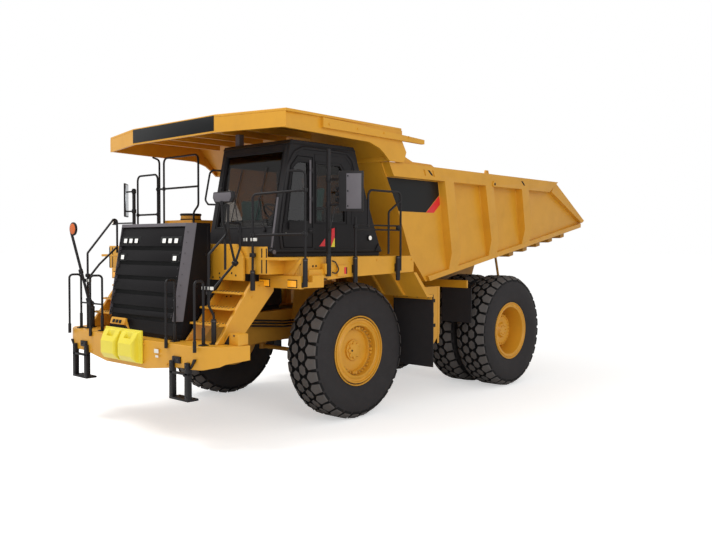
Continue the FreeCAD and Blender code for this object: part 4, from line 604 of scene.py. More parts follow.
    def ring_bolts(self, centre: Point, radius: float, count: int, head: float, out: float,
                   finish: Finish, height: float) -> None:
        """Add hexagonal studs and nuts in a ring about an axis along Y.

        Args:
            centre: centre of the ring, on the face that the nuts sit on.
            radius: radius of the ring.
            count: how many nuts.
            head: radius of a nut.
            out: 1 where the nuts point to +Y, -1 for -Y.
            finish: the nuts' finish.
            height: how far a nut stands proud.
        """
        x, y, z = centre
        for i in range(count):
            angle = math.tau * i / count
            px, pz = x + radius * math.cos(angle), z + radius * math.sin(angle)
            self.rod((px, y - 0.004 * out, pz), (px, y + height * out, pz), head, finish, sides=6)
            self.rod((px, y + height * out, pz), (px, y + (height + 0.4 * head) * out, pz), 0.55 * head,
                     finish, sides=8)

    def tube(self, points: Sequence[Point], radius: float, finish: Finish, sides: int = 12) -> None:
        """Add a bent round tube through points, with mitred bends.

        Args:
            points: the tube's centre line.
            radius: the tube's radius.
            finish: the tube's finish.
            sides: how many flat sides it has.
        """
        line = [Vector(point) for point in points]
        loops: list[list[bmesh.types.BMEdge]] = []
        for i, point in enumerate(line):
            before = (point - line[i - 1]).normalized() if i else (line[1] - point).normalized()
            after = (line[i + 1] - point).normalized() if i + 1 < len(line) else before
            along = (before + after).normalized()
            turn = along.to_track_quat("Z", "Y").to_matrix().to_4x4()
            stretch = 1 / max(along.dot(before), 0.3)
            ring = bmesh.ops.create_circle(self.mesh, cap_ends=False, segments=sides,
                                           radius=radius)["verts"]
            bend = before.cross(after)
            scale = Matrix()
            if bend.length > ON_AXIS:
                side = (turn.inverted() @ bend.normalized().cross(along)).to_3d()
                scale = Matrix.Scale(stretch, 4, side)
            bmesh.ops.transform(self.mesh, matrix=Matrix.Translation(point) @ turn @ scale, verts=ring)
            loops.append(list({edge for vert in ring for edge in vert.link_edges}))
        for first, second in zip(loops, loops[1:]):
            made = bmesh.ops.bridge_loops(self.mesh, edges=first + second)["faces"]
            self.paint(made, finish)
        for loop in (loops[0], loops[-1]):
            ends = bmesh.ops.contextual_create(self.mesh, geom=loop)["faces"]
            self.paint(ends, finish)

    def pipe(self, points: Sequence[Point], radius: float, bend: float, finish: Finish,
             sides: int = 14) -> None:
        """Add a bent tube whose corners are rounded.

        Args:
            points: corners of the tube's centre line.
            radius: the tube's radius.
            bend: radius of each bend, on the centre line.
            finish: the tube's finish.
            sides: how many flat sides it has.
        """
        corners = [Vector(point) for point in points]
        line: list[Vector] = [corners[0]]
        for before, here, after in zip(corners, corners[1:], corners[2:]):
            back, ahead = (before - here).normalized(), (after - here).normalized()
            turn = math.pi - back.angle(ahead)
            reach = bend * math.tan(turn / 2)
            middle = here + (back + ahead).normalized() * (bend / math.cos(turn / 2))
            start = here + back * reach - middle
            axis = start.cross(here + ahead * reach - middle)
            line += [middle + Matrix.Rotation(turn * step / 5, 3, axis) @ start for step in range(6)]
        line.append(corners[-1])
        self.tube([tuple(point) for point in line], radius, finish, sides)

    def ring(self, outline: Sequence[Point], width: float, depth: Point, finish: Finish) -> None:
        """Add a flat frame that follows an outline inwards.

        Args:
            outline: outer corners in order, all in one plane.
            width: how wide the frame is.
            depth: vector that the frame is extruded by.
            finish: the frame's finish.
        """
        verts = [self.mesh.verts.new(point) for point in outline]
        base = self.mesh.faces.new(verts)
        rim = bmesh.ops.inset_individual(self.mesh, faces=[base], thickness=width,
                                         use_even_offset=True)["faces"]
        bmesh.ops.delete(self.mesh, geom=[base], context="FACES_ONLY")
        tops = extrude(self.mesh, rim)
        bmesh.ops.translate(self.mesh, vec=depth, verts=tops)
        faces = list(set(faces_at(tops)) | set(rim))
        bmesh.ops.recalc_face_normals(self.mesh, faces=faces)
        self.paint(faces, finish)

    def bolt(self, foot: Point, out: Point, head: float, finish: Finish) -> None:
        """Add a hexagon bolt head on its washer.

        Args:
            foot: where the bolt's axis meets the plate.
            out: direction that the head points in.
            head: radius of the head.
            finish: the bolt's finish.
        """
        start, way = Vector(foot), Vector(out).normalized()
        self.rod(tuple(start - 0.003 * way), tuple(start + 0.25 * head * way), 1.45 * head, finish,
                 sides=12)
        self.rod(tuple(start), tuple(start + 1.0 * head * way), head, finish, sides=6)

    def mirror_copy(self) -> None:
        """Add the mirror image, across the centre plane, of all that is there."""
        every = list(self.mesh.verts) + list(self.mesh.edges) + list(self.mesh.faces)
        made = bmesh.ops.duplicate(self.mesh, geom=every)["geom"]
        verts = [part for part in made if isinstance(part, bmesh.types.BMVert)]
        faces = [part for part in made if isinstance(part, bmesh.types.BMFace)]
        bmesh.ops.scale(self.mesh, vec=(1.0, -1.0, 1.0), verts=verts)
        bmesh.ops.reverse_faces(self.mesh, faces=faces)

    def piece(self, name: str, body: str, slot: str, replaces: Sequence[str] = (),
              smooth_angle: float = 35.0) -> bpy.types.Object:
        """Finish the shape as one piece of the truck.

        Args:
            name: the piece's plain name.
            body: the body that it rides on.
            slot: the record's material slot that it belongs to; not used.
            replaces: the CAD nodes that it stands for.
            smooth_angle: edges flatter than this, in degrees, are shaded smooth.

        Returns:
            The new object.
        """
        bmesh.ops.recalc_face_normals(self.mesh, faces=list(self.mesh.faces))
        bmesh.ops.translate(self.mesh, vec=(self.origin_x, 0.0, 0.0), verts=list(self.mesh.verts))
        return register(mesh_data(self.mesh, name), name, body, self.finishes, replaces,
                        smooth_angle)


def register(data: bpy.types.Mesh, name: str, body: str, finishes: Sequence[Finish],
             replaces: Sequence[str] = (), smooth_angle: float = 35.0) -> bpy.types.Object:
    """Put a mesh in the scene as a piece of the truck.

    Args:
        data: the mesh, with its place in its vertices.
        name: the piece's plain name.
        body: the body that it rides on.
        finishes: finishes in the order of the mesh's material indices.
        replaces: the CAD nodes that it stands for.
        smooth_angle: edges flatter than this, in degrees, are shaded smooth.

    Returns:
        The new object.
    """
    for finish in finishes:
        data.materials.append(finish_material(finish))
    data.shade_smooth()
    data.set_sharp_from_angle(angle=math.radians(smooth_angle))
    piece = add_object(name, data)
    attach(piece, body)
    if replaces:
        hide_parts(*replaces)
    LOG.info("%s: %d faces on %s", name, len(data.polygons), body)
    return piece


def evaluated_mesh(piece: bpy.types.Object) -> bpy.types.Mesh:
    """Return a copy of a piece's mesh with its modifiers applied."""
    graph = bpy.context.evaluated_depsgraph_get()
    return bpy.data.meshes.new_from_object(piece.evaluated_get(graph))


def inflate(piece: bpy.types.Object, cap: float = 0.022, voxel: float = 0.007) -> None:
    """Args:
        piece: the pad, a little smaller than it ends up.
        cap: the furthest that any point moves.
        voxel: cell size of the cloth.
    """
    scene = bpy.context.scene
    remesh = piece.modifiers.new("even_cells", "REMESH")
    remesh.mode = "VOXEL"
    remesh.voxel_size = voxel
    materials = list(piece.data.materials)
    start = evaluated_mesh(piece)
    piece.modifiers.clear()
    piece.data = start
    rest = [vert.co.copy() for vert in start.vertices]
    cloth = piece.modifiers.new("swelling", "CLOTH")
    cloth.settings.use_pressure = True
    cloth.settings.uniform_pressure_force = PAD_PRESSURE
    cloth.settings.effector_weights.gravity = 0.0
    for frame in range(1, CLOTH_FRAMES + 1):
        scene.frame_set(frame)
    swollen = evaluated_mesh(piece)
    piece.modifiers.clear()
    piece.data = swollen
    scene.frame_set(1)
    for vert, origin in zip(swollen.vertices, rest):
        move = vert.co - origin
        if move.length > cap:
            vert.co = origin + move.normalized() * cap
    swollen.materials.clear()
    for material in materials:
        swollen.materials.append(material)
    swollen.shade_smooth()
    soft = piece.modifiers.new("soft_surface", "SUBSURF")
    soft.levels = soft.render_levels = 1


def soften(frame: Mapping[str, Any], node: str, finish: Finish, width: float) -> None:
    """Stand a copy of a CAD node, with rounded plate edges, in its place.

    Args:
        node: the CAD node's name.
        finish: the copy's finish.
        width: width of the rounded edges.
    """
    source = frame["nodes"][node]
    mesh = bmesh.new()
    mesh.from_mesh(source.data)
    bmesh.ops.remove_doubles(mesh, verts=list(mesh.verts), dist=2e-5)
    bmesh.ops.dissolve_limit(mesh, angle_limit=math.radians(0.8), verts=list(mesh.verts),
                             edges=list(mesh.edges))
    name = node + "_shell"
    piece = register(mesh_data(mesh, name), name, source["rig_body"], [finish], [node])
    rounding = piece.modifiers.new("rounded_edges", "BEVEL")
    rounding.width = width
    rounding.segments = 2
    rounding.limit_method = "ANGLE"
    rounding.angle_limit = math.radians(32)
    rounding.use_clamp_overlap = True
    rounding.harden_normals = True


# ---------------------------------------------------------------- wheels
class Side(Enum):
    """Which side of the truck; the value is the sign of Y."""

    LEFT = 1
    RIGHT = -1

    @property
    def word(self) -> str:
        """Return the side's name as it ends a node's name."""
        return self.name.lower()


@dataclass
class Tyre:
    """Radial earthmover tyre: sidewall, bead and four staggered columns of deep lugs."""

    centre: Point
    radius: float
    outward: int
    groove_depth: float = 0.062
    shoulder_y: float = 0.262
    floor_radius: float = 0.984
    lugs: int = 32
    lug_gap: float = 0.008
    lug_taper: float = 0.93
    worn_z: float = -0.012
    crown_y: float = 0.20
    crown_fall: float = 0.175
    shoulder_slope: float = 1.4
    sidewall: Sequence[tuple[float, float]] = (
        (0.250, 0.510), (0.262, 0.560), (0.285, 0.590), (0.301, 0.640), (0.312, 0.700), (0.321, 0.760),
        (0.324, 0.820), (0.321, 0.880), (0.312, 0.925), (0.300, 0.960), (0.288, 0.985), (0.255, 1.001),
        (0.190, 1.008))

    def carcass(self, shape: Shape) -> None:
        """Spin the sidewalls and the groove's bottom.

        Args:
            shape: the shape to add to.
        """
        floor = self.radius - self.groove_depth
        wall = [(-along, radius) for along, radius in self.sidewall] + [(0.0, floor)]
        wall += reversed(self.sidewall)
        faces = shape.turned(wall, self.centre, Finish.SIDEWALL, steps=96)
        # the groove floor between the lugs takes the painted shade
        floor_faces = [face for face in faces
                       if all(self._height(vert.co) > self.floor_radius for vert in face.verts)]
        shape.paint(floor_faces, Finish.GROOVE)

    def _height(self, point: Vector) -> float:
        """Return a point's distance from the wheel's axis."""
        return math.hypot(point.x - self.centre[0], point.z - self.centre[2])

    def _lug(self, shape: Shape, outline: Sequence[tuple[float, float]], turn: float,
             shoulder: bool) -> None:
        """Add one lug, drawn flat and then wrapped round the tyre.

        Args:
            shape: the shape to add to.
            outline: (along the tread, across it) corners in metres.
            turn: the lug's angle round the wheel.
            shoulder: whether it is a shoulder lug, whose outer side slopes down over the sidewall.
        """
        middle_u = sum(u for u, _ in outline) / len(outline)
        middle_v = sum(v for _, v in outline) / len(outline)
        sunk = self.groove_depth + (0.012 if shoulder else 0.008)
        taper_across = 0.94 if shoulder else self.lug_taper
        mesh = shape.mesh
        foot = [mesh.verts.new((u, v, -sunk)) for u, v in outline]
        base = mesh.faces.new(foot)
        base.normal_update()
        if base.normal.z > 0:
            base.normal_flip()
        tops = extrude(mesh, [base])
        for vert in tops:
            vert.co.x = middle_u + (vert.co.x - middle_u) * self.lug_taper
            vert.co.y = middle_v + (vert.co.y - middle_v) * taper_across
            vert.co.z = 0.0
        bmesh.ops.recalc_face_normals(mesh, faces=faces_at(foot + tops))
        top_edges = {edge for vert in tops for edge in vert.link_edges
                     if all(end in tops for end in edge.verts)}
        rounded = round_edges(mesh, top_edges, 0.007, segments=1)
        seeds = {vert for face in rounded for vert in face.verts} | set(foot)
        seeds |= {vert for vert in tops if vert.is_valid}
        lug_faces = faces_at(seeds)
        worn = [face for face in lug_faces if all(vert.co.z > self.worn_z for vert in face.verts)]
        for vert in {vert for face in lug_faces for vert in face.verts}:
            crown = self.radius - self.crown_fall * max(abs(vert.co.y) - self.crown_y, 0.0)
            drop = max(abs(vert.co.y) - self.shoulder_y, 0.0)
            radius = crown + vert.co.z - drop * self.shoulder_slope
            angle = turn + vert.co.x / self.radius
            along = vert.co.y * self.outward
            vert.co = Vector((self.centre[0] + radius * math.cos(angle), self.centre[1] + along,
                              self.centre[2] + radius * math.sin(angle)))
        # lug sides take the painted shade of the grooves; the worn tops then take the lighter tread
        # rubber
        shape.paint(lug_faces, Finish.GROOVE)
        shape.paint(worn, Finish.TREAD)

    def tread(self, shape: Shape) -> None:
        """Add the staggered lugs, two centre columns and two shoulder columns.

        Args:
            shape: the shape to add to.
        """
        pitch = math.tau / self.lugs
        reach = 0.5 * pitch * self.radius - self.lug_gap
        centre = [(-0.50, 0.006), (0.50, 0.006), (1.0, 0.070), (0.50, 0.140), (-0.50, 0.140),
                  (-1.0, 0.070)]
        shoulder = [(-0.84, 0.305), (0.84, 0.305), (0.98, 0.205), (0.20, 0.150), (-0.20, 0.150),
                    (-0.98, 0.205)]
        for i in range(self.lugs):
            for outline, is_shoulder in ((centre, False), (shoulder, True)):
                for side in (1, -1):
                    late = 0.5 if (side > 0) == is_shoulder else 0.0
                    self._lug(shape, [(share * reach, side * v) for share, v in outline],
                              (i + late) * pitch,
                              is_shoulder)

    def build(self, shape: Shape) -> None:
        """Add the whole tyre.

        Args:
            shape: the shape to add to.
        """
        self.carcass(shape)
        self.tread(shape)


RIM_BARREL = ((-0.279, 0.552), (-0.262, 0.552), (-0.250, 0.510), (0.250, 0.510), (0.258, 0.548))


@dataclass
class FrontRim:
    """Multi-piece rim of a front wheel: stepped rings, dished disc, stud ring and lobed hub cap."""

    centre: Point
    outward: int
    flange_y: float = 0.280
    studs: int = 32

    def build(self, shape: Shape) -> None:
        """Add the rim.

        Args:
            shape: the shape to add to.
        """
        face = self.flange_y
        profile = [(-0.279, 0.450), *RIM_BARREL, (face - 0.006, 0.553), (face, 0.545),
                   (face - 0.004, 0.535),
                   (face - 0.034, 0.528), (face - 0.034, 0.518), (face - 0.004, 0.510),
                   (face - 0.002, 0.488),
                   (face - 0.026, 0.480), (face - 0.028, 0.452), (face - 0.008, 0.430),
                   (face - 0.004, 0.408),
                   (face - 0.012, 0.396), (face - 0.040, 0.392), (face - 0.095, 0.388),
                   (face - 0.095, 0.335),
                   (face - 0.105, 0.328), (face - 0.150, 0.322), (face - 0.150, 0.150),
                   (face - 0.150, 0.0)]
        faces = shape.turned(profile, self.centre, Finish.YELLOW, steps=96, outward=self.outward)
        x, y, z = self.centre
        # painted shade: the rim's groove and the recess round the stud ring take the darker shaded
        # yellow
        for low, high in ((0.516, 0.530), (0.334, 0.390)):
            shape.paint([band for band in faces if all(
                low < math.hypot(vert.co.x - x, vert.co.z - z) < high for vert in band.verts)],
                        Finish.CHASSIS)
        ring_y = y + self.outward * (face - 0.095)
        shape.ring_bolts((x, ring_y, z), 0.362, self.studs, 0.015, self.outward, Finish.YELLOW,
                         height=0.030)
        for quarter in range(4):
            for shift in (-0.5, 0.5):
                angle = math.tau * quarter / 4 + shift * 0.16 + 0.1
                px, pz = x + 0.352 * math.cos(angle), z + 0.352 * math.sin(angle)
                shape.rod((px, ring_y, pz), (px, ring_y + self.outward * 0.035, pz), 0.024,
                          Finish.YELLOW,
                          sides=12, bevel=0.006)
        self._cap(shape, (x, y + self.outward * (face - 0.150), z))

    def _cap(self, shape: Shape, foot: Point) -> None:
        """Add the lobed hub cap with its small level plug.

        Args:
            shape: the shape to add to.
            foot: centre of the disc that it stands on.
        """
        x, y, z = foot
        out = self.outward
        shape.rod((x, y - 0.004 * out, z), (x, y + 0.030 * out, z), 0.165, Finish.YELLOW, sides=48,
                  bevel=0.006)
        shape.rod((x, y + 0.02 * out, z), (x, y + 0.055 * out, z), 0.105, Finish.YELLOW, sides=32,
                  bevel=0.008)
        for i in range(8):
            angle = math.tau * i / 8
            px, pz = x + 0.108 * math.cos(angle), z + 0.108 * math.sin(angle)
            shape.rod((px, y + 0.02 * out, pz), (px, y + 0.052 * out, pz), 0.034, Finish.YELLOW,
                      sides=14,
                      bevel=0.006)
        shape.rod((x + 0.07, y + 0.05 * out, z), (x + 0.07, y + 0.064 * out, z), 0.016, Finish.BLACK,
                  sides=12)


@dataclass
class RearRim:
    """Outer rim of a rear pair, with the deep dish round its final drive."""

    centre: Point
    outward: int
    flange_y: float = 0.280
    studs: int = 36

    def build(self, shape: Shape) -> None:
        """Add the rim, the stud ring and the final drive's stepped cover.

        Args:
            shape: the shape to add to.
        """
        face = self.flange_y
        profile = [(-0.279, 0.450), *RIM_BARREL, (face - 0.006, 0.553), (face, 0.545),
                   (face - 0.004, 0.535),
                   (face - 0.020, 0.528), (face - 0.020, 0.518), (face - 0.004, 0.510),
                   (face - 0.002, 0.492),
                   (face - 0.014, 0.484), (face - 0.020, 0.462), (face - 0.060, 0.452),
                   (face - 0.360, 0.448),
                   (face - 0.360, 0.345), (face - 0.340, 0.330), (face - 0.232, 0.305),
                   (face - 0.222, 0.296),
                   (face - 0.222, 0.155), (face - 0.196, 0.135), (face - 0.180, 0.125),
                   (face - 0.180, 0.0)]
        shape.turned(profile, self.centre, Finish.YELLOW, steps=96, outward=self.outward)
        x, y, z = self.centre
        shape.ring_bolts((x, y + self.outward * (face - 0.360), z), 0.395, self.studs, 0.018,
                         self.outward,
                         Finish.YELLOW, height=0.045)
        shape.ring_bolts((x, y + self.outward * (face - 0.222), z), 0.265, 24, 0.012, self.outward,
                         Finish.YELLOW, height=0.016)
        shape.ring_bolts((x, y + self.outward * (face - 0.180), z), 0.090, 8, 0.012, self.outward,
                         Finish.YELLOW, height=0.014)


@dataclass
class Wheels:
    """All six wheels."""

    front_x: float
    rear_x: float
    axle_z: float
    radius: float
    front_y: float
    pair_y: float
    dual_spacing: float = 0.740

    @classmethod
    def from_frame(cls) -> "Wheels":
        """Read the wheels' centres and size from the CAD tyres."""
        low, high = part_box("front_tyre_left")
        rear_low, rear_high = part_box("rear_tyres_left")
        return cls(front_x=(low.x + high.x) / 2, rear_x=(rear_low.x + rear_high.x) / 2,
                   axle_z=(low.z + high.z) / 2, radius=(high.z - low.z) / 2,
                   front_y=(low.y + high.y) / 2,
                   pair_y=(rear_low.y + rear_high.y) / 2)

    def build(self) -> None:
        """Build every tyre and rim."""
        for side in Side:
            front = (self.front_x, side.value * self.front_y, self.axle_z)
            self._single(front, side)
            self._pair(side)

    def _single(self, centre: Point, side: Side) -> None:
        """Build one steered wheel.

        Args:
            centre: the wheel's centre.
            side: the truck's side.
        """
        body = "front_wheel_" + side.word
        shape = Shape(0.0)
        Tyre(centre, self.radius, side.value).build(shape)
        shape.piece("front_tread_" + side.word, body, "tyre_rubber", ["front_tyre_" + side.word])
        shape = Shape(0.0)
        FrontRim(centre, side.value).build(shape)
        shape.piece("front_wheel_rim_" + side.word, body, "yellow_paint", ["front_rim_" + side.word])

    def _pair(self, side: Side) -> None:
        """Build one pair of driven wheels.

        Args:
            side: the truck's side.
        """
        body = "rear_wheels_" + side.word
        outer = (self.rear_x, side.value * (self.pair_y + self.dual_spacing / 2), self.axle_z)
        inner = (self.rear_x, side.value * (self.pair_y - self.dual_spacing / 2), self.axle_z)
        for word, centre in (("outer", outer), ("inner", inner)):
            shape = Shape(0.0)
            Tyre(centre, self.radius, side.value).build(shape)
            shape.piece(f"rear_{word}_tread_{side.word}", body, "tyre_rubber",
                        ["rear_tyres_" + side.word] if word == "outer" else [])
        shape = Shape(0.0)
        RearRim(outer, side.value).build(shape)
        shape.turned([(-0.279, 0.0), *RIM_BARREL, (0.280, 0.552), (0.280, 0.0)], inner, Finish.YELLOW,
                     outward=side.value)
        shape.piece("rear_wheel_rims_" + side.word, body, "yellow_paint", ["rear_rims_" + side.word])
# ---------------------------------------------------------------- dump body and canopy
@dataclass
class DumpBodyTrim:
    """Panels, pads, welds, slots, bosses and bolts of the dump body and its canopy."""

    sheet_y: float = 2.000
    rail_bottom: float = 3.830
    panel_low: float = 3.290
    canopy_face: float = 6.410
    canopy_top: float = 4.590
    panel_half: float = 1.055
    decal: float = 0.004
    rib_lines: Sequence[tuple[float, float]] = ((2.235, 1.958), (0.978, 0.698), (-0.300, -0.484))

    def floor_z(self, fore: float) -> float:
        """Return the height of the floor's underside at a fore distance."""
        return 2.120 + (2.700 - fore) * (3.140 - 2.120) / (2.700 + 2.880)

    def build(self) -> None:
        """Build every piece."""
        self._panels()
        self._pads()
        self._welds()
        self._canopy_bolts()
        self._canopy_closer()

    def _canopy_closer(self) -> None:
        """Cross plate behind the canopy's skirt, and the slots and lifting bosses of the top rails."""
        shape = Shape()
        shape.block((3.800, -2.166, 4.056), (3.902, 2.166, 4.150), Finish.YELLOW, bevel=0.006)
        rail_y = 2.151
        for sign in (1, -1):
            # near-black slots: painted shade inside the openings
            for low, high in ((2.700, 2.800), (-0.290, -0.190)):
                slot = [(low, 3.905), (low + 0.050, 3.905), (high + 0.050, 3.985), (high, 3.985)]
                shape.plate(side_view(slot, sign * rail_y), (0, sign * 0.002, 0), Finish.VOID)
            shape.rod((0.830, sign * (rail_y - 0.010), 3.870), (0.830, sign * (rail_y + 0.022), 3.870),
                      0.055,
                      Finish.YELLOW, sides=28, bevel=0.008)
            # near-black centre hole of the boss: painted shade
            shape.rod((0.830, sign * (rail_y + 0.020), 3.870), (0.830, sign * (rail_y + 0.024), 3.870),
                      0.026,
                      Finish.VOID, sides=20)
        shape.piece("canopy_closing_plate", "dump_body", "yellow_paint")

    def _panels(self) -> None:
        """Blank black side panels with their red stripe, and the blank panel on the canopy's nose."""
        shape = Shape()
        y = self.sheet_y
        black = [(3.733, 3.827), (2.367, 3.827), (2.327, 3.605), (2.705, self.panel_low),
                 (3.424, self.panel_low)]
        red = [(2.325, 3.592), (2.302, 3.440), (2.480, self.panel_low), (2.690, self.panel_low)]
        shape.plate(side_view(black, y), (0, self.decal, 0), Finish.GLOSS_BLACK)
        shape.plate(side_view(red, y), (0, self.decal, 0), Finish.RED)
        shape.mirror_copy()
        low, high, half = self.canopy_top - 0.232, self.canopy_top - 0.018, self.panel_half
        shape.block((self.canopy_face, -half, low), (self.canopy_face + self.decal, half, high),
                    Finish.GLOSS_BLACK, bevel=0.001)
        shape.piece("body_blank_panels", "dump_body", "black_paint")

    def _pads(self) -> None:
        """Rubber pads between the body's beams and the chassis rails."""
        shape = Shape()
        pad = [(-0.850, 1.852), (0.900, 1.852), (1.900, 1.712), (2.330, 1.712), (2.330, 1.738),
               (1.905, 1.738),
               (0.905, 1.878), (-0.850, 1.878)]
        shape.plate(side_view(pad, 0.345), (0, 0.11, 0), Finish.SEAL, bevel=0.003)
        shape.mirror_copy()
        shape.piece("body_rest_pads", "dump_body", "flap_rubber")

    def _welds(self) -> None:
        """Fillet weld beads where the ribs and the top rail meet the side sheet."""
        shape = Shape()
        y = self.sheet_y
        for top, foot in self.rib_lines:
            low = self.floor_z(foot) + 0.10
            for half in (-0.130, 0.130):
                shape.tube([(foot + half, y, low), (top + half, y, self.rail_bottom)], 0.008,
                           Finish.YELLOW, 8)
        ends = [3.730] + [top + half for top, _ in self.rib_lines for half in (0.130, -0.130)] + [-1.500]
        for start, stop in zip(ends[::2], ends[1::2]):
            shape.tube([(start, y, self.rail_bottom), (stop, y, self.rail_bottom)], 0.008, Finish.YELLOW,
                       8)
        shape.mirror_copy()
        shape.piece("body_weld_beads", "dump_body", "yellow_paint")

    def _canopy_bolts(self) -> None:
        """Bolts of the canopy's side strips."""
        shape = Shape()
        for fore in (5.300, 4.700, 4.100, 3.500):
            for sign in (1, -1):
                shape.bolt((fore, sign * 2.265, self.canopy_top - 0.135), (0, sign, 0), 0.013,
                           Finish.YELLOW)
        shape.piece("canopy_strip_bolts", "dump_body", "yellow_paint")


# ---------------------------------------------------------------- nose
@dataclass
class Nose:
    """Louvred grille with its lamps, and the bolts and plates of the radiator guard and bumper."""

    low: float = 1.640
    high: float = 2.999
    half: float = 0.840
    foot_fore: float = 6.970
    head_fore: float = 6.730
    line_low: float = 1.620
    line_high: float = 3.020
    edges: Sequence[float] = (2.999, 2.655, 2.435, 2.215, 1.995, 1.775, 1.640)
    lamp_height: float = 0.082
    lamp_width: float = 0.104
    lamp_rows: Sequence[tuple[float, float]] = ((2.795, 0.370), (2.795, 0.520), (2.795, 0.670),
                                                (2.545, 0.690))

    def face(self, z: float, setback: float = 0.0) -> float:
        """Return the fore distance of the leaning face at a height, less a setback."""
        share = (z - self.line_low) / (self.line_high - self.line_low)
        return self.foot_fore + (self.head_fore - self.foot_fore) * share - setback

    @property
    def lean(self) -> float:
        """Return the face's angle from upright, in radians."""
        return math.atan2(self.foot_fore - self.head_fore, self.line_high - self.line_low)

    def build(self) -> None:
        """Build every piece."""
        self._grille()
        self._lamps()
        self._guard_bolts()
        self._bumper_fittings()

    def _grille(self) -> None:
        """Slats that overhang a dark gap at their lower edge, on a near-black backing that paints the
        shade behind them.
        """
        shape = Shape()
        for top, bottom in zip(self.edges, self.edges[1:]):
            lip = [(self.face(top, 0.030), top - 0.002), (self.face(top, 0.006), top - 0.002),
                   (self.face(bottom + 0.066, -0.011), bottom + 0.066),
                   (self.face(bottom + 0.060, -0.010), bottom + 0.060),
                   (self.face(bottom + 0.060, 0.030), bottom + 0.060)]
            shape.plate(side_view(lip, -self.half), (0, 2 * self.half, 0), Finish.NOSE_BLACK,
                        bevel=0.004)
        # near-black backing plate: painted shade behind the slats
        back = [(self.face(self.low, 0.056), self.low), (self.face(self.low, 0.036), self.low),
                (self.face(self.high, 0.036), self.high), (self.face(self.high, 0.056), self.high)]
        shape.plate(side_view(back, -self.half), (0, 2 * self.half, 0), Finish.VOID)
        for sign in (1, -1):
            for z0, z1 in zip(self.edges[1:], self.edges[2:]):
                for height in (z1 + 0.075, z0 - 0.035):
                    shape.bolt((self.face(height, -0.004), sign * (self.half - 0.045), height),
                               (1, 0, math.tan(self.lean)), 0.010, Finish.DARK_ZINC)
        self._chin_corners(shape)
        shape.piece("louvred_grille", "chassis", "black_paint", ["grille"])

    def _chin_corners(self, shape: Shape) -> None:
        """Add the plates that close the chin to the cheeks below the trim strips.

        Args:
            shape: the shape to add to.
        """
        low, high = 1.430, 1.658
        lean = (self.face(high) - self.face(low), 0.0, high - low)
        for sign in (1, -1):
            plan = [(0.032, 0.838), (0.098, 0.943), (0.098, 0.900), (0.070, 0.838)]
            shape.plate([(self.face(low, setback), sign * y, low) for setback, y in plan], lean,
                        Finish.NOSE_BLACK,
                        bevel=0.003)

    def _lamps(self) -> None:
        """Square lamps, each with a bezel and a ribbed lens, in the blank black lamp panels."""
        turn = Euler((0.0, -self.lean, 0.0))
        shape = Shape()
        lenses = Shape()
        panels = [(2.795, 0.520, 0.260), (2.545, 0.690, 0.090)]
        for sign in (1, -1):
            for z, y, half in panels:
                x = self.face(z, -0.004)
                shape.block((x - 0.010, sign * y - half, z - 0.062),
                            (x + 0.004, sign * y + half, z + 0.062),
                            Finish.GLOSS_BLACK, bevel=0.006, turn=turn)
            for z, y in self.lamp_rows:
                x, w, h = self.face(z, -0.010), self.lamp_width / 2, self.lamp_height / 2
                shape.block((x - 0.006, sign * y - w, z - h), (x + 0.008, sign * y + w, z + h),
                            Finish.BLACK,
                            bevel=0.005, turn=turn)
                lenses.block((x + 0.002, sign * y - w + 0.012, z - h + 0.008),
                             (x + 0.012, sign * y + w - 0.012, z + h - 0.008), Finish.CLEAR_LENS,
                             bevel=0.004,
                             turn=turn)
        shape.piece("headlamp_panels", "chassis", "black_paint")
        lenses.piece("headlamp_lenses", "chassis", "lamp_lens", ["headlamps"])

    def _guard_bolts(self) -> None:
        """Bolts along the guard's trim strips and top edge, and the latch and seam of each cheek."""
        shape = Shape()
        for sign in (1, -1):
            for i in range(9):
                z = 1.720 + 0.150 * i
                shape.bolt((self.face(z, 0.020), sign * 0.872, z), (0.66, sign * 0.75, 0.11), 0.010,
                           Finish.DARK_ZINC)
            for z in (1.700, 2.150, 2.600):
                shape.bolt((6.480 if z > 2.3 else 6.640, sign * 0.945, z), (0, sign, 0), 0.014,
                           Finish.BLACK)
            seam = [(6.610, sign * 0.946, 1.460), (6.440, sign * 0.946, 2.280),
                    (6.440, sign * 0.946, 3.000)]
            shape.tube(seam, 0.004, Finish.SEAL, 8)
        shape.piece("guard_bolts", "chassis", "black_paint")

    def _bumper_fittings(self) -> None:
        """Blank plates, reflectors, bolts, step brackets and lifting box of the bumper."""
        shape = Shape()
        shape.block((7.209, 0.755, 1.245), (7.217, 0.855, 1.300), Finish.PALE, bevel=0.002)
        shape.block((7.209, 0.785, 1.185), (7.217, 0.850, 1.215), Finish.PALE, bevel=0.002)
        for sign in (1, -1):
            for y in (0.500, 1.010):
                for z in (1.110, 1.340):
                    shape.bolt((7.210 if y < 0.53 else 7.172, sign * y, z), (1, 0, 0), 0.014,
                               Finish.YELLOW)
            shape.block((7.168, sign * 1.240 - 0.090, 1.150), (7.196, sign * 1.240 + 0.090, 1.240),
                        Finish.BLACK,
                        bevel=0.006)
            for y in (1.190, 1.290):
                shape.bolt((7.195, sign * y, 1.195), (1, 0, 0), 0.013, Finish.DARK_ZINC)
            brace = [(1.535, 1.100), (1.610, 1.235), (1.665, 1.235), (1.560, 1.100)]
            shape.plate(front_view(brace, 7.158, sign), (0.026, 0, 0), Finish.BLACK, bevel=0.003)
        box_low, box_high = (6.560, 1.790, 1.401), (6.730, 1.990, 1.555)
        shape.block(box_low, box_high, Finish.YELLOW, bevel=0.008)
        shape.bolt((6.729, 1.900, 1.530), (1, 0, 0), 0.010, Finish.DARK_ZINC)
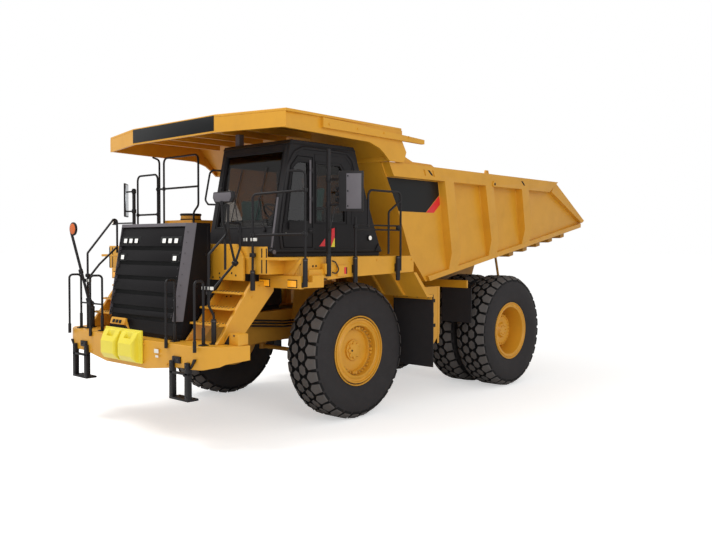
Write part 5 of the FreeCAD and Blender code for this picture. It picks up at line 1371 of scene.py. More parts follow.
        # near-black wedge beside the lifting box: painted shade
        wedge = [(6.735, 1.690, 1.402), (6.735, 1.790, 1.402), (6.735, 1.790, 1.520)]
        shape.plate(wedge, (-0.100, 0, 0), Finish.VOID)
        frame = [(6.740, 1.670, 1.402), (6.740, 1.692, 1.402), (6.740, 1.800, 1.530),
                 (6.740, 1.800, 1.556)]
        shape.plate(frame, (-0.012, 0, 0), Finish.YELLOW)
        shape.block((7.000, -0.700, 1.535), (7.034, -0.300, 1.640), Finish.YELLOW, bevel=0.006,
                    turn=Euler((0.0, -0.35, 0.0)))
        # near-black slots in the stay: painted shade in the holes
        for y in (-0.600, -0.510, -0.420):
            shape.block((7.026, y - 0.030, 1.560), (7.046, y + 0.030, 1.610), Finish.VOID, bevel=0.003,
                        turn=Euler((0.0, -0.35, 0.0)))
        stay = [(-0.300, 1.635), (-0.300, 1.540), (-0.215, 1.480)]
        shape.plate(front_view(stay, 7.022), (-0.020, 0, 0), Finish.YELLOW)
        shape.piece("bumper_fittings", "chassis", "yellow_paint")


# ---------------------------------------------------------------- handrails, steps and mirrors
@dataclass
class Handrails:
    """Bent handrail tubes with their sleeves, clamps and foot plates."""

    tube: float = 0.017
    sleeve: float = 0.034
    bumper_top: float = 1.401
    bumper_face: float = 7.210
    deck_top: float = 2.571
    deck_side: float = 2.300
    stair_y: float = 1.600
    frame_fore: float = 5.600

    def build(self) -> None:
        """Build every rail."""
        self._stair_rails()
        self._deck_left()
        self._deck_right()

    def _sleeve(self, shape: Shape, x: float, y: float, low: float, high: float) -> None:
        """Add a black rubber post sleeve with a collar at its top.

        Args:
            shape: the shape to add to.
            x: the post's fore distance.
            y: the post's Y.
            low: the sleeve's foot.
            high: the sleeve's top.
        """
        shape.rod((x, y, low), (x, y, high), self.sleeve, Finish.SEAL, sides=24, bevel=0.006)
        shape.rod((x, y, high - 0.035), (x, y, high - 0.020), self.sleeve + 0.002, Finish.DARK_ZINC,
                  sides=24)

    def _clamp(self, shape: Shape, centre: Point, along: Point = (0.0, 0.0, 1.0),
               radius: float = 0.036) -> None:
        """Add a two-part tube clamp with its bolts.

        Args:
            shape: the shape to add to.
            centre: centre of the clamp.
            along: direction of the tube that it grips.
            radius: the clamp's radius.
        """
        way = Vector(along).normalized() * 0.028
        middle = Vector(centre)
        shape.rod(tuple(middle - way), tuple(middle + way), radius, Finish.BLACK, sides=16, bevel=0.005)
        shape.bolt(tuple(middle + Vector((radius - 0.003, 0.0, 0.0))), (1, 0, 0), 0.009,
                   Finish.DARK_ZINC)

    def _bright_clamp(self, shape: Shape, x: float, y: float, z: float, reach: float) -> None:
        """Add a wide bright clamp with dark jaws across a post.

        Args:
            shape: the shape to add to.
            x: its fore distance.
            y: Y of its middle.
            z: its height.
            reach: how far it stands out to each side.
        """
        for sign in (1, -1):
            shape.block((x - 0.018, y + sign * reach * 0.62 - reach * 0.38, z - 0.022),
                        (x + 0.026, y + sign * reach * 0.62 + reach * 0.38, z + 0.022), Finish.PALE,
                        bevel=0.005)
            shape.block((x - 0.022, y + sign * reach * 0.62 - 0.010, z - 0.026),
                        (x + 0.030, y + sign * reach * 0.62 + 0.010, z + 0.026), Finish.BLACK,
                        bevel=0.003)
        shape.block((x - 0.024, y - reach * 0.25, z - 0.026), (x + 0.030, y + reach * 0.25, z + 0.026),
                    Finish.BLACK,
                    bevel=0.004)

    def _stair_rails(self) -> None:
        """Rails and grab loops that stand on the bumper."""
        shape = Shape()
        y, x, foot = self.stair_y, self.bumper_face - 0.375, self.bumper_top
        left = [(x, y, foot), (x, y, 1.790), (x + 0.080, y, 1.920), (x + 0.080, y, 2.080),
                (x - 0.365, y, 2.490),
                (x - 0.455, y, 2.700), (x - 0.455, y, 3.040), (x - 0.195, y, 3.040),
                (x - 0.195, y, 2.400)]
        front_leg = [(x + 0.080, y, 2.000), (x + 0.080, y, 2.610), (x - 0.205, y + 0.030, 2.890),
                     (x - 0.085, y + 0.090, 3.060), (x - 0.065, y + 0.100, 3.280)]
        rear_leg = [(x - 0.365, y, 2.480), (x - 0.225, y + 0.060, 2.800), (x - 0.110, y + 0.170, 2.960),
                    (x - 0.110, y + 0.180, 3.280)]
        right = [(x, -y, foot), (x, -y, 1.790), (x + 0.080, -y, 1.920), (x + 0.080, -y, 2.600),
                 (x - 0.450, -y, 3.230), (x - 0.450, -y, 2.600)]
        branch = [(x + 0.080, -y, 2.180), (x - 0.130, -y, 2.420), (x - 0.450, -y, 2.700)]
        for line in (left, front_leg, rear_leg, right, branch):
            shape.pipe(line, self.tube, 0.045, Finish.BLACK)
        for sign in (1, -1):
            self._sleeve(shape, x, sign * y, foot, 1.740)
            shape.rod((x, sign * y, foot), (x, sign * y, foot + 0.012), 0.060, Finish.BLACK, sides=24)
            for loop_y in (0.970, 1.620):
                self._loop(shape, sign, loop_y)
        bar_x = self.bumper_face - 0.190
        shape.pipe([(bar_x, -1.620, 1.810), (bar_x, -0.970, 1.810)], 0.013, 0.01, Finish.BLACK, 10)
        self._clamp(shape, (bar_x, -1.300, 1.810), (0, 1, 0), 0.040)
        self._clamp(shape, (x - 0.365, y, 2.490), (-0.74, 0.0, 0.67), 0.044)
        self._clamp(shape, (x + 0.080, y, 2.100))
        self._clamp(shape, (x + 0.080, -y, 2.240))
        for centre in ((x + 0.080, y - 0.005, 2.160), (x + 0.080, -y + 0.005, 2.160)):
            cx, cy, cz = centre
            self._bright_clamp(shape, cx + 0.012, cy, cz, 0.105)
        shape.piece("stair_rail_tubes", "chassis", "black_paint", ["stair_handrails"], smooth_angle=50.0)

    def _loop(self, shape: Shape, sign: int, loop_y: float) -> None:
        """Add one grab loop that hooks over the bumper's face.

        Args:
            shape: the shape to add to.
            sign: 1 on the left, -1 on the right.
            loop_y: distance of its post from the centre plane.
        """
        x = self.bumper_face - 0.190
        reach = x + 0.175
        y, outer = sign * loop_y, sign * (loop_y + 0.045)
        shape.pipe([(x, y, self.bumper_top), (x, y, 2.260), (reach, outer, 2.260),
                    (reach, outer, 1.345)],
                   self.tube, 0.055, Finish.BLACK)
        shape.rod((x, y, self.bumper_top), (x, y, 1.640), 0.024, Finish.BLACK, sides=18, bevel=0.004)
        shape.rod((reach, outer, 1.330), (reach, outer, 1.480), 0.024, Finish.BLACK, sides=18,
                  bevel=0.004)
        shape.block((x - 0.055, y - 0.045, self.bumper_top),
                    (x + 0.055, y + 0.045, self.bumper_top + 0.014),
                    Finish.BLACK, bevel=0.003)
        for step in (-0.040, 0.040):
            shape.bolt((x + step, y, self.bumper_top + 0.014), (0, 0, 1), 0.008, Finish.DARK_ZINC)

    def _deck_left(self) -> None:
        """Rails round the deck's front left corner and along its edge."""
        shape = Shape()
        y = self.deck_side + 0.050
        corner = y + 0.110
        sx, sy = 6.320, 1.795
        shape.pipe([(5.960, corner, 2.190), (5.960, corner, 3.740), (6.100, y - 0.060, 3.740)],
                   self.tube, 0.07,
                   Finish.BLACK)
        shape.pipe([(sx, sy, 2.130), (sx, sy, 3.430), (5.960, corner, 3.480)], self.tube, 0.07,
                   Finish.BLACK)
        shape.pipe([(sx, sy, 2.870), (5.960, corner, 2.890)], self.tube, 0.07, Finish.BLACK)
        self._sleeve(shape, 5.960, corner, 2.170, 2.560)
        self._sleeve(shape, sx, sy, 2.110, 2.390)
        shape.block((5.925, 2.421, 2.170), (5.995, corner, 2.230), Finish.BLACK, bevel=0.005)
        self._clamp(shape, (sx, sy, 2.870))
        self._clamp(shape, (sx, sy, 2.600), radius=0.044)
        self._clamp(shape, (5.960, corner, 2.890))
        self._clamp(shape, (5.960, corner, 3.480))
        self._bright_clamp(shape, sx, sy - 0.050, 2.812, 0.125)
        shape.pipe([(4.840, y, 2.200), (4.840, y, 3.150)], self.tube, 0.07, Finish.BLACK)
        shape.pipe([(3.800, y, 2.340), (3.800, y, 3.560), (4.560, y, 3.560), (4.560, y, 3.010)],
                   self.tube, 0.09,
                   Finish.BLACK)
        shape.pipe([(3.800, y, 3.430), (4.090, y, 3.250), (4.090, y, 2.600)], self.tube, 0.07,
                   Finish.BLACK)
        for z in (3.035, 2.970):
            shape.pipe([(3.800, y, z), (4.840, y, z)], 0.012, 0.07, Finish.BLACK, 10)
        for x in (4.840, 3.860):
            self._sleeve(shape, x, y, 2.190, self.deck_top)
            shape.block((x - 0.030, self.deck_side + 0.001, 2.330), (x + 0.030, y, 2.450), Finish.BLACK,
                        bevel=0.005)
            self._clamp(shape, (x, y, 3.010))
        shape.piece("deck_rail_tubes_left", "chassis", "black_paint", ["deck_rails_left"],
                    smooth_angle=50.0)

    def _deck_right(self) -> None:
        """Tall guard frame, hooked post and outer loop across the deck's right half."""
        shape = Shape()
        x, foot = self.frame_fore, self.deck_top
        shape.pipe([(x, -1.410, foot), (x, -1.410, 4.210), (x, -0.430, 4.210), (x, -0.430, 3.380),
                    (x, -0.560, 3.270), (x, -0.560, foot)], self.tube, 0.09, Finish.BLACK)
        shape.pipe([(x, -1.545, foot), (x, -1.545, 4.190), (x, -1.740, 4.250)], self.tube, 0.09,
                   Finish.BLACK)
        shape.pipe([(x, -2.230, foot), (x, -2.230, 3.950), (x, -1.600, 3.950), (x, -1.600, foot)],
                   self.tube, 0.09,
                   Finish.BLACK)
        shape.pipe([(x, -1.625, 3.690), (x, -0.430, 3.690)], self.tube, 0.05, Finish.BLACK)
        shape.pipe([(x, -2.230, 3.260), (x, -1.600, 3.260)], self.tube, 0.05, Finish.BLACK)
        for y in (-1.410, -0.560, -1.545, -2.230, -1.600):
            shape.block((x - 0.045, y - 0.026, foot), (x + 0.045, y + 0.026, foot + 0.012), Finish.BLACK,
                        bevel=0.002)
            for step in (-0.032, 0.032):
                shape.bolt((x + step, y, foot + 0.012), (0, 0, 1), 0.007, Finish.DARK_ZINC)
        for y, z in ((-1.410, 3.690), (-1.600, 3.690), (-2.230, 3.260), (-1.600, 3.260)):
            self._clamp(shape, (x, y, z), radius=0.026)
        shape.piece("deck_rail_tubes_right", "chassis", "black_paint", ["deck_rails_right"],
                    smooth_angle=50.0)


@dataclass
class HungSteps:
    """Bottom steps on flat hangers, with rows of grip studs in the tread."""

    face: float = 7.171
    near_y: float = 1.110
    width: float = 0.430
    post: float = 0.080

    def build(self) -> None:
        """Build both steps."""
        shape = Shape()
        x, y0, y1 = self.face, self.near_y, self.near_y + self.width
        for y in (y0, y1 - self.post):
            shape.block((x, y, 0.680), (x + 0.045, y + self.post, 1.180), Finish.BLACK, bevel=0.006)
            shape.block((x - 0.030, y + 0.010, 0.690), (x + 0.010, y + self.post - 0.010, 1.160),
                        Finish.BLACK,
                        bevel=0.004)
            for z in (1.155, 1.095, 0.720):
                shape.bolt((x + 0.045, y + self.post / 2, z), (1, 0, 0), 0.009, Finish.DARK_ZINC)
        shape.block((x - 0.130, y0, 0.660), (x + 0.045, y1, 0.690), Finish.BLACK, bevel=0.004)
        shape.block((x, y0, 1.010), (x + 0.045, y1, 1.040), Finish.BLACK, bevel=0.004)
        for row in range(3):
            for i in range(12):
                cx, cy = x - 0.100 + 0.055 * row, y0 + 0.035 + 0.0328 * i
                shape.rod((cx, cy, 0.689), (cx, cy, 0.696), 0.0095, Finish.DARK_ZINC, sides=8)
        shape.mirror_copy()
        shape.piece("hung_step_frames", "chassis", "black_paint", ["hung_steps"])


@dataclass
class Mirrors:
    """Mirror heads with their glass, arms, posts and work lamp."""

    deck_top: float = 2.571
    deck_side: float = 2.300
    bumper_top: float = 1.401
    bumper_face: float = 7.210

    def build(self) -> None:
        """Build every mirror."""
        shape = Shape()
        self._main_left(shape)
        self._main_right(shape)
        self._convex_left(shape)
        self._round_right(shape)
        shape.piece("mirror_set", "chassis", "black_paint", ["mirrors"], smooth_angle=40.0)

    def _head(self, shape: Shape, x: float, y: float, low: float, high: float, turn_deg: float,
              out: int) -> None:
        """Add an upright mirror head: framed back panel in front, glass behind.

        Args:
            shape: the shape to add to.
            x: fore distance of its centre.
            y: Y of its centre.
            low: its foot.
            high: its top.
            turn_deg: turn about the upright.
            out: 1 on the left, -1 on the right.
        """
        turn = Euler((0.0, 0.0, math.radians(turn_deg)))
        centre = Vector((x, y, (low + high) / 2))
        half = 0.170

        def slab(near: float, far: float, across: tuple[float, float], up: tuple[float, float],
                 finish: Finish,
                 bevel: float) -> None:
            """Add a slab in the head's own axes: along its normal, across and up."""
            size = Vector((far - near, across[1] - across[0], up[1] - up[0]))
            local = Vector(((near + far) / 2, (across[0] + across[1]) / 2, (up[0] + up[1]) / 2))
            middle = centre + turn.to_matrix() @ local
            shape.block(tuple(middle - size / 2), tuple(middle + size / 2), finish, bevel=bevel,
                        turn=turn)

        tall = (high - low) / 2
        slab(-0.016, 0.016, (-half, half), (-tall, tall), Finish.BLACK, 0.010)
        inner = (-half + 0.105, half - 0.030) if out > 0 else (-half + 0.030, half - 0.105)
        slab(0.012, 0.0195, inner, (-tall + 0.035, tall - 0.035), Finish.GREY, 0.008)
        slab(-0.019, -0.012, (-half + 0.020, half - 0.020), (-tall + 0.020, tall - 0.020), Finish.MIRROR,
             0.003)
        way = turn.to_matrix() @ Vector((1.0, 0.0, 0.0))
        for up in (-tall + 0.07, 0.0, tall - 0.07):
            edge = -half + 0.125 if out > 0 else half - 0.125
            place = centre + turn.to_matrix() @ Vector((0.0195, edge, up))
            shape.bolt(tuple(place - way * 0.004), tuple(way), 0.011, Finish.VOID)

    def _main_left(self, shape: Shape) -> None:
        """Add the left main mirror on its tall post.

        Args:
            shape: the shape to add to.
        """
        x, y = 5.450, self.deck_side + 0.100
        shape.rod((x, y, 2.330), (x, y, 4.080), 0.030, Finish.BLACK, sides=24, bevel=0.006)
        shape.rod((x, y, 2.300), (x, y, 2.620), 0.036, Finish.SEAL, sides=24, bevel=0.004)
        shape.block((x - 0.060, self.deck_side + 0.001, 2.330), (x + 0.060, y, 2.480), Finish.YELLOW,
                    bevel=0.008)
        for z in (3.300, 3.650):
            shape.pipe([(x, y, z), (x, y + 0.300, z), (x, y + 0.420, z)], 0.014, 0.05, Finish.BLACK)
            shape.rod((x, y, z - 0.040), (x, y, z + 0.040), 0.040, Finish.BLACK, sides=18, bevel=0.006)
        bracket = [(x - 0.012, y + 0.300, 3.270), (x - 0.012, y + 0.345, 3.330),
                   (x - 0.012, y + 0.345, 3.620),
                   (x - 0.012, y + 0.300, 3.680)]
        shape.pipe(bracket, 0.012, 0.04, Finish.BLACK)
        for z in (3.360, 3.440, 3.520):
            shape.ball((x + 0.03, y + 0.200, z), 0.032, Finish.BLACK)
        shape.pipe([(x, y, 2.900), (x + 0.050, y + 0.080, 2.980), (x + 0.050, y + 0.170, 3.240),
                    (x, y + 0.240, 3.300)], 0.009, 0.05, Finish.HOSE, 10)
        self._head(shape, x, y + 0.430, 3.200, 3.750, 37.0, 1)

    def _main_right(self, shape: Shape) -> None:
        """Add the right main mirror, its post, its ring and the work lamp.

        Args:
            shape: the shape to add to.
        """
        x, y = 5.665, -self.deck_side + 0.050
        low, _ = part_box("mirrors")
        outer = low.y
        shape.rod((x, y, self.deck_top), (x, y, 3.730), 0.030, Finish.BLACK, sides=24, bevel=0.006)
        shape.rod((x, y, self.deck_top), (x, y, self.deck_top + 0.240), 0.036, Finish.SEAL, sides=24,
                  bevel=0.004)
        for z in (3.330, 3.680):
            shape.rod((x, y, z), (x, y - 0.260, z), 0.014, Finish.BLACK, sides=14)
            shape.rod((x, y, z - 0.035), (x, y, z + 0.035), 0.040, Finish.BLACK, sides=18, bevel=0.006)
        self._head(shape, x, y - 0.260, 3.230, 3.830, -40.0, -1)
        shape.rod((x, y, 3.120), (x, outer + 0.060, 3.120), 0.014, Finish.BLACK, sides=14)
        shape.rod((x - 0.040, outer + 0.060, 3.150), (x + 0.045, outer + 0.060, 3.150), 0.058,
                  Finish.BLACK, sides=28,
                  bevel=0.012)
        shape.rod((x + 0.043, outer + 0.060, 3.150), (x + 0.056, outer + 0.060, 3.150), 0.048,
                  Finish.CLEAR_LENS,
                  sides=28, bevel=0.004)

    def _convex_left(self, shape: Shape) -> None:
        """Add the convex mirror above the left stair's rail.

        Args:
            shape: the shape to add to.
        """
        x, y = self.bumper_face - 0.440, 1.710
        outline = [(1.540, 3.300), (1.880, 3.300), (1.930, 3.370), (1.915, 3.450), (1.505, 3.450),
                   (1.490, 3.370)]
        shape.plate(front_view(outline, x - 0.060), (0.060, 0, 0), Finish.BLACK, bevel=0.014)
        inner = [(y + (side - y) * 0.86, 3.377 + (z - 3.377) * 0.78) for side, z in outline]
        shape.plate(front_view(inner, x - 0.004), (0.012, 0, 0), Finish.GREY, bevel=0.010)
        shape.plate(front_view(inner, x - 0.056), (-0.003, 0, 0), Finish.MIRROR, bevel=0.001)
        shape.rod((x, 1.700, 3.282), (x, 1.700, 3.320), 0.025, Finish.BLACK, sides=18)

    def _round_right(self, shape: Shape) -> None:
        """Add the round mirror on its tilted pole, with an orange back.

        Args:
            shape: the shape to add to.
        """
        x, y = self.bumper_face - 0.245, -1.480
        shape.pipe([(x, y, self.bumper_top), (x, y, 1.850), (x, -2.030, 2.930)], 0.022, 0.08,
                   Finish.BLACK)
        shape.rod((x, y, self.bumper_top), (x, y, 1.840), 0.034, Finish.SEAL, sides=24, bevel=0.006)
        shape.rod((x, y, self.bumper_top), (x, y, self.bumper_top + 0.014), 0.062, Finish.BLACK,
                  sides=24)
        for z in (1.850, 2.300):
            centre = y - (z - 1.850) * 0.509
            shape.rod((x, centre, z - 0.030), (x, centre - 0.03, z + 0.030), 0.036, Finish.BLACK,
                      sides=16, bevel=0.005)
        shape.rod((x - 0.019, -1.965, 2.990), (x + 0.014, -1.965, 2.990), 0.110, Finish.BLACK, sides=40,
                  bevel=0.010)
        shape.rod((x + 0.010, -1.965, 2.990), (x + 0.0195, -1.965, 2.990), 0.088, Finish.ORANGE,
                  sides=40,
                  bevel=0.006)
        shape.rod((x - 0.0195, -1.965, 2.990), (x - 0.010, -1.965, 2.990), 0.098, Finish.MIRROR,
                  sides=40)


# ---------------------------------------------------------------- cab
@dataclass
class CabTrim:
    """Seals, trim, wipers, handles, mouldings, seat and wheel that finish the cab."""

    left_y: float = 1.950
    right_y: float = 0.450
    front_foot: float = 6.080
    front_head: float = 5.760
    floor: float = 2.630
    roof: float = 4.210
    door_rear: float = 5.320
    door_front: float = 5.930
    door_top: float = 4.010
    sill: float = 3.090
    seat_y: float = 1.260

    def front(self, z: float) -> float:
        """Return the fore distance of the leaning front at a height."""
        share = (z - self.floor) / (self.roof - self.floor)
        return self.front_foot + (self.front_head - self.front_foot) * share

    def build(self) -> None:
        """Build every piece."""
        self._door()
        self._side()
        self._front()
        self._seat()
        self._controls()

    def door_window(self, gap: float) -> list[tuple[float, float]]:
        """Return the door window's outline, let in by a gap."""
        rear, front, low, top = self.door_rear, self.door_front, self.sill, self.door_top
        return [(rear + 0.090 + gap, low + gap), (front - 0.120 - 2 * gap, low + gap),
                (front - 0.230 - gap, top - 0.170 - gap), (front - 0.330 - gap, top - 0.090 - gap),
                (rear + 0.090 + gap, top - 0.090 - gap)]

    def _door(self) -> None:
        """Window seal, latch, pull handle, tread strip and stripes on the door leaf."""
        shape = Shape()
        y = self.left_y
        shape.ring(side_view(self.door_window(-0.036), y), 0.044, (0, 0.004, 0), Finish.GLASS_EDGE)
        shape.ring(side_view(self.door_window(-0.006), y), 0.016, (0, 0.008, 0), Finish.SEAL)
        shape.block((5.362, y, 3.050), (5.396, y + 0.012, 3.965), Finish.GREY, bevel=0.004)
        leaf = [(5.330, 2.710), (5.880, 2.710), (5.920, 2.930), (5.752, 3.855), (5.626, 4.000),
                (5.330, 4.000)]
        shape.ring(side_view(leaf, y), 0.014, (0, 0.005, 0), Finish.SEAL)
        # near-black recess behind the pull handle: painted shade
        shape.block((5.775, y, 2.955), (5.815, y + 0.006, 3.070), Finish.VOID, bevel=0.004)
        shape.pipe([(5.790, y - 0.004, 2.975), (5.790, y + 0.028, 2.975), (5.790, y + 0.028, 3.050),
                    (5.790, y - 0.004, 3.050)], 0.007, 0.012, Finish.BLACK, 10)
        shape.rod((5.850, y - 0.002, 2.900), (5.850, y + 0.008, 2.900), 0.012, Finish.ZINC, sides=18)
        for z in (2.900, 3.355, 3.770):
            shape.block((5.325, y + 0.001, z + 0.008), (5.402, y + 0.010, z + 0.082), Finish.BLACK,
                        bevel=0.003)
            for fore in (5.355, 5.385):
                shape.bolt((fore, y + 0.010, z + 0.045), (0, 1, 0), 0.007, Finish.DARK_ZINC)
        shape.piece("door_trim", "cab_door", "black_paint")

    def _side(self) -> None:
        """Arched seal round the side glass, rear window seals, strip, side lamp and roof gutters."""
        shape = Shape()
        y = self.left_y
        arch = [(5.925, y, 2.690), (5.962, y, 2.920), (5.925, y, 3.170), (5.880, y, 3.420),
                (5.800, y, 3.860),
                (5.680, y, 4.055), (5.520, y, 4.130), (4.870, y, 4.130), (4.590, y, 4.120),
                (4.470, y, 4.020),
                (4.430, y, 3.880)]
        shape.pipe(arch, 0.024, 0.100, Finish.SEAL, 14)
        window = [(4.640, 3.090), (5.240, 3.090), (5.240, 3.920), (4.760, 3.920), (4.640, 3.790)]
        bonded = [(4.500, 3.050), (5.285, 3.050), (5.285, 4.060), (4.640, 4.060), (4.500, 3.930)]
        shape.ring(side_view(bonded, y), 0.040, (0, 0.004, 0), Finish.GLASS_EDGE)
        grown = [(4.950 + (fore - 4.950) * 1.10, 3.500 + (z - 3.500) * 1.08) for fore, z in window]
        shape.ring(side_view(grown, y), 0.036, (0, 0.007, 0), Finish.SEAL)
        shape.pipe([(5.280, y, 2.685), (4.830, y, 2.685), (4.830, y, 3.000)], 0.010, 0.060, Finish.SEAL,
                   10)
        right = [(4.605, 3.060), (5.815, 3.060), (5.710, 3.950), (4.665, 3.950)]
        shape.ring(side_view(right, self.right_y), 0.034, (0, -0.007, 0), Finish.SEAL)
        shape.block((3.860, y - 0.004, 2.636), (6.060, y + 0.006, 2.672), Finish.SEAL, bevel=0.003)
        shape.rod((4.090, y - 0.010, 2.850), (4.090, y + 0.022, 2.850), 0.046, Finish.BLACK, sides=28,
                  bevel=0.006)
        shape.rod((4.090, y + 0.018, 2.850), (4.090, y + 0.028, 2.850), 0.034, Finish.CLEAR_LENS,
                  sides=28)
        patches = ((Finish.RED, [(5.190, 2.720), (5.070, 2.720), (5.070, 2.835)]),
                   (Finish.BUFFER, [(4.945, 2.710), (4.865, 2.710), (4.865, 2.850)]),
                   (Finish.RED, [(4.945, 2.716), (4.867, 2.852), (4.867, 2.995), (4.930, 2.980)]))
        for finish, corners in patches:
            shape.plate(side_view(corners, y), (0, 0.003, 0), finish)
        foot = [(3.800, 2.640), (3.960, 2.640), (3.880, 2.760)]
        shape.plate(side_view(foot, y), (0, 0.020, 0), Finish.BLACK, bevel=0.004)
        for side in (y - 0.004, self.right_y + 0.004):
            gutter = [(4.420, side, 4.168), (5.745, side, 4.168)]
            shape.tube(gutter, 0.012, Finish.BLACK, 10)
        shape.piece("cab_side_trim", "chassis", "black_paint", smooth_angle=50.0)

    def _front(self) -> None:
        """Windscreen seal, wipers, pillar stay, grab loop, roof strut and pillar studs."""
        shape = Shape()
        low, high = 3.000, 4.060
        outline = [(self.front(low - 0.022), 0.558, low - 0.022),
                   (self.front(low - 0.022), 1.842, low - 0.022),
                   (self.front(high + 0.022), 1.842, high + 0.022),
                   (self.front(high + 0.022), 0.558, high + 0.022)]
        lean = Vector((1.580, 0.0, 0.320)).normalized() * 0.007
        shape.ring(outline, 0.034, tuple(lean), Finish.SEAL)
        for pivot_y, tip_y in ((1.150, 0.720), (1.700, 1.270)):
            x = self.front(2.950) + 0.010
            shape.rod((x - 0.03, pivot_y, 2.945), (x + 0.018, pivot_y, 2.950), 0.024, Finish.BLACK,
                      sides=18,
                      bevel=0.004)
            tip = (self.front(3.420) + 0.002, tip_y + 0.180, 3.420)
            shape.pipe([(x + 0.012, pivot_y, 2.950), tip], 0.007, 0.02, Finish.BLACK, 8)
            blade_low, blade_high = 3.080, 3.860
            shape.pipe([(self.front(blade_low) - 0.014, tip[1] - 0.010, blade_low),
                        (self.front(blade_high) - 0.014, tip[1] + 0.060, blade_high)], 0.007, 0.02,
                       Finish.SEAL, 8)
        self._pillar_stay(shape)
        self._grab_loop(shape)
        shape.block((5.554, 0.584, 4.226), (5.646, 0.676, 4.424), Finish.GREY, bevel=0.004)
        for y in (0.560, 1.830):
            shape.rod((self.front(3.600) - 0.01, y, 3.600), (self.front(3.600) + 0.02, y, 3.600), 0.012,
                      Finish.DARK_ZINC, sides=14)
        shape.piece("cab_front_trim", "chassis", "black_paint", smooth_angle=50.0)

    def _pillar_stay(self, shape: Shape) -> None:
        """Add the slanting stay ahead of the cab's front left pillar, with its round foot.

        Args:
            shape: the shape to add to.
        """
        shape.pipe([(5.985, 1.935, 3.400), (6.100, 1.935, 2.700)], 0.014, 0.03, Finish.GREY, 10)
        shape.rod((6.080, 1.890, 2.640), (6.080, 1.965, 2.640), 0.046, Finish.BLACK, sides=28,
                  bevel=0.008)
        shape.rod((6.080, 1.960, 2.640), (6.080, 1.972, 2.640), 0.030, Finish.GREY, sides=24)

    def _grab_loop(self, shape: Shape) -> None:
        """Add the grab loop at the cab's front right pillar.

        Args:
            shape: the shape to add to.
        """
        x, y = 5.900, self.right_y
        shape.pipe([(x - 0.080, y + 0.010, 3.870), (x, y - 0.100, 3.880), (x, y - 0.170, 3.840),
                    (x, y - 0.290, 3.430),
                    (x, y - 0.220, 3.360), (x - 0.030, y + 0.010, 3.350)], 0.015, 0.05, Finish.BLACK, 12)

    def _seat(self) -> None:
        """Sewn cloth seats: crowned cushions, seams, shell and suspension bellows."""
        y = self.seat_y
        pads = (("driver_seat_cushion", (4.665, y - 0.240, 2.962), (5.165, y + 0.240, 3.060), 0.0,
                 ["seat"]),
                ("driver_seat_back", (4.610, y - 0.225, 3.095), (4.700, y + 0.225, 3.640), -0.13, []),
                ("trainer_seat_back", (5.445, 0.560, 3.060), (5.525, 1.000, 3.430), 0.06, []))
        for name, low, high, lean, stands_for in pads:
            pad = Shape()
            pad.block(low, high, Finish.SEAT, bevel=0.030, turn=Euler((0.0, lean, 0.0)))
            piece = pad.piece(name, "chassis", "seat_cloth", stands_for, smooth_angle=80.0)
            inflate(piece)
        seams = Shape()
        for sign in (1, -1):
            seams.pipe([(4.690, y + sign * 0.150, 3.078), (5.140, y + sign * 0.150, 3.078)], 0.004, 0.02,
                       Finish.SEAL, 8)
        seams.pipe([(5.534, 0.600, 3.250), (5.534, 0.960, 3.250)], 0.004, 0.02, Finish.SEAL, 8)
        seams.piece("seat_seams", "chassis", "seat_cloth")
        shape = Shape()
        shape.rod((4.900, y, 2.640), (4.900, y, 2.930), 0.170, Finish.SEAL, sides=28, bevel=0.02)
        for i in range(4):
            shape.rod((4.900, y, 2.690 + 0.060 * i), (4.900, y, 2.712 + 0.060 * i), 0.179, Finish.SEAL,
                      sides=28,
                      bevel=0.008)
        shape.rod((5.480, 0.780, 2.640), (5.480, 0.780, 3.070), 0.045, Finish.DASH, sides=20,
                  bevel=0.008)
        for sign in (1, -1):
            shape.pipe([(4.640, y + sign * 0.262, 3.080), (4.640, y + sign * 0.268, 3.300),
                        (4.960, y + sign * 0.268, 3.300)], 0.022, 0.04, Finish.DASH, 12)
        shape.piece("driver_seat_frame", "chassis", "dash_plastic")

    def _controls(self) -> None:
        """Dash with its cowl and gauges, steering column and wheel, and side console."""
        shape = Shape()
        y = self.seat_y
        dash = [(5.620, 2.632), (5.900, 2.632), (5.840, 3.055), (5.640, 3.115), (5.565, 3.020)]
        shape.plate(side_view(dash, 0.512), (0, 1.046, 0), Finish.DASH, bevel=0.018)
        for side, radius in ((-0.14, 0.050), (0.0, 0.070), (0.14, 0.050)):
            shape.rod((5.600, y + side, 3.060), (5.580, y + side, 3.084), radius, Finish.VOID, sides=28,
                      bevel=0.004)
        for i in range(6):
            shape.block((5.560, 0.620 + 0.06 * i, 2.960), (5.574, 0.655 + 0.06 * i, 2.990), Finish.BLACK,
                        bevel=0.003)
        shape.rod((5.640, y, 3.000), (5.430, y, 3.191), 0.040, Finish.DASH, sides=24, bevel=0.006)
        lean = Euler((0.0, -math.atan2(0.200, 0.220), 0.0)).to_matrix().to_4x4()
        tilt = Matrix.Translation((5.420, y, 3.200)) @ lean
        others, other_faces = set(shape.mesh.verts), set(shape.mesh.faces)
        rim = bmesh.ops.create_circle(shape.mesh, cap_ends=False, segments=12, radius=0.015)["verts"]
        upright = Matrix.Translation((0.0, 0.210, 0.0)) @ Matrix.Rotation(math.radians(90), 4, "Y")
        bmesh.ops.transform(shape.mesh, matrix=upright, verts=rim)
        edges = list({edge for vert in rim for edge in vert.link_edges})
        bmesh.ops.spin(shape.mesh, geom=list(rim) + edges, cent=(0, 0, 0), axis=(0, 0, 1),
                       angle=math.tau,
                       steps=48, use_merge=True, dvec=(0, 0, 0))
        wheel = [vert for vert in shape.mesh.verts if vert not in others]
        bmesh.ops.transform(shape.mesh, matrix=tilt, verts=wheel)
        shape.paint([face for face in shape.mesh.faces if face not in other_faces], Finish.DASH)
        for turn in (0.0, 120.0, 240.0):
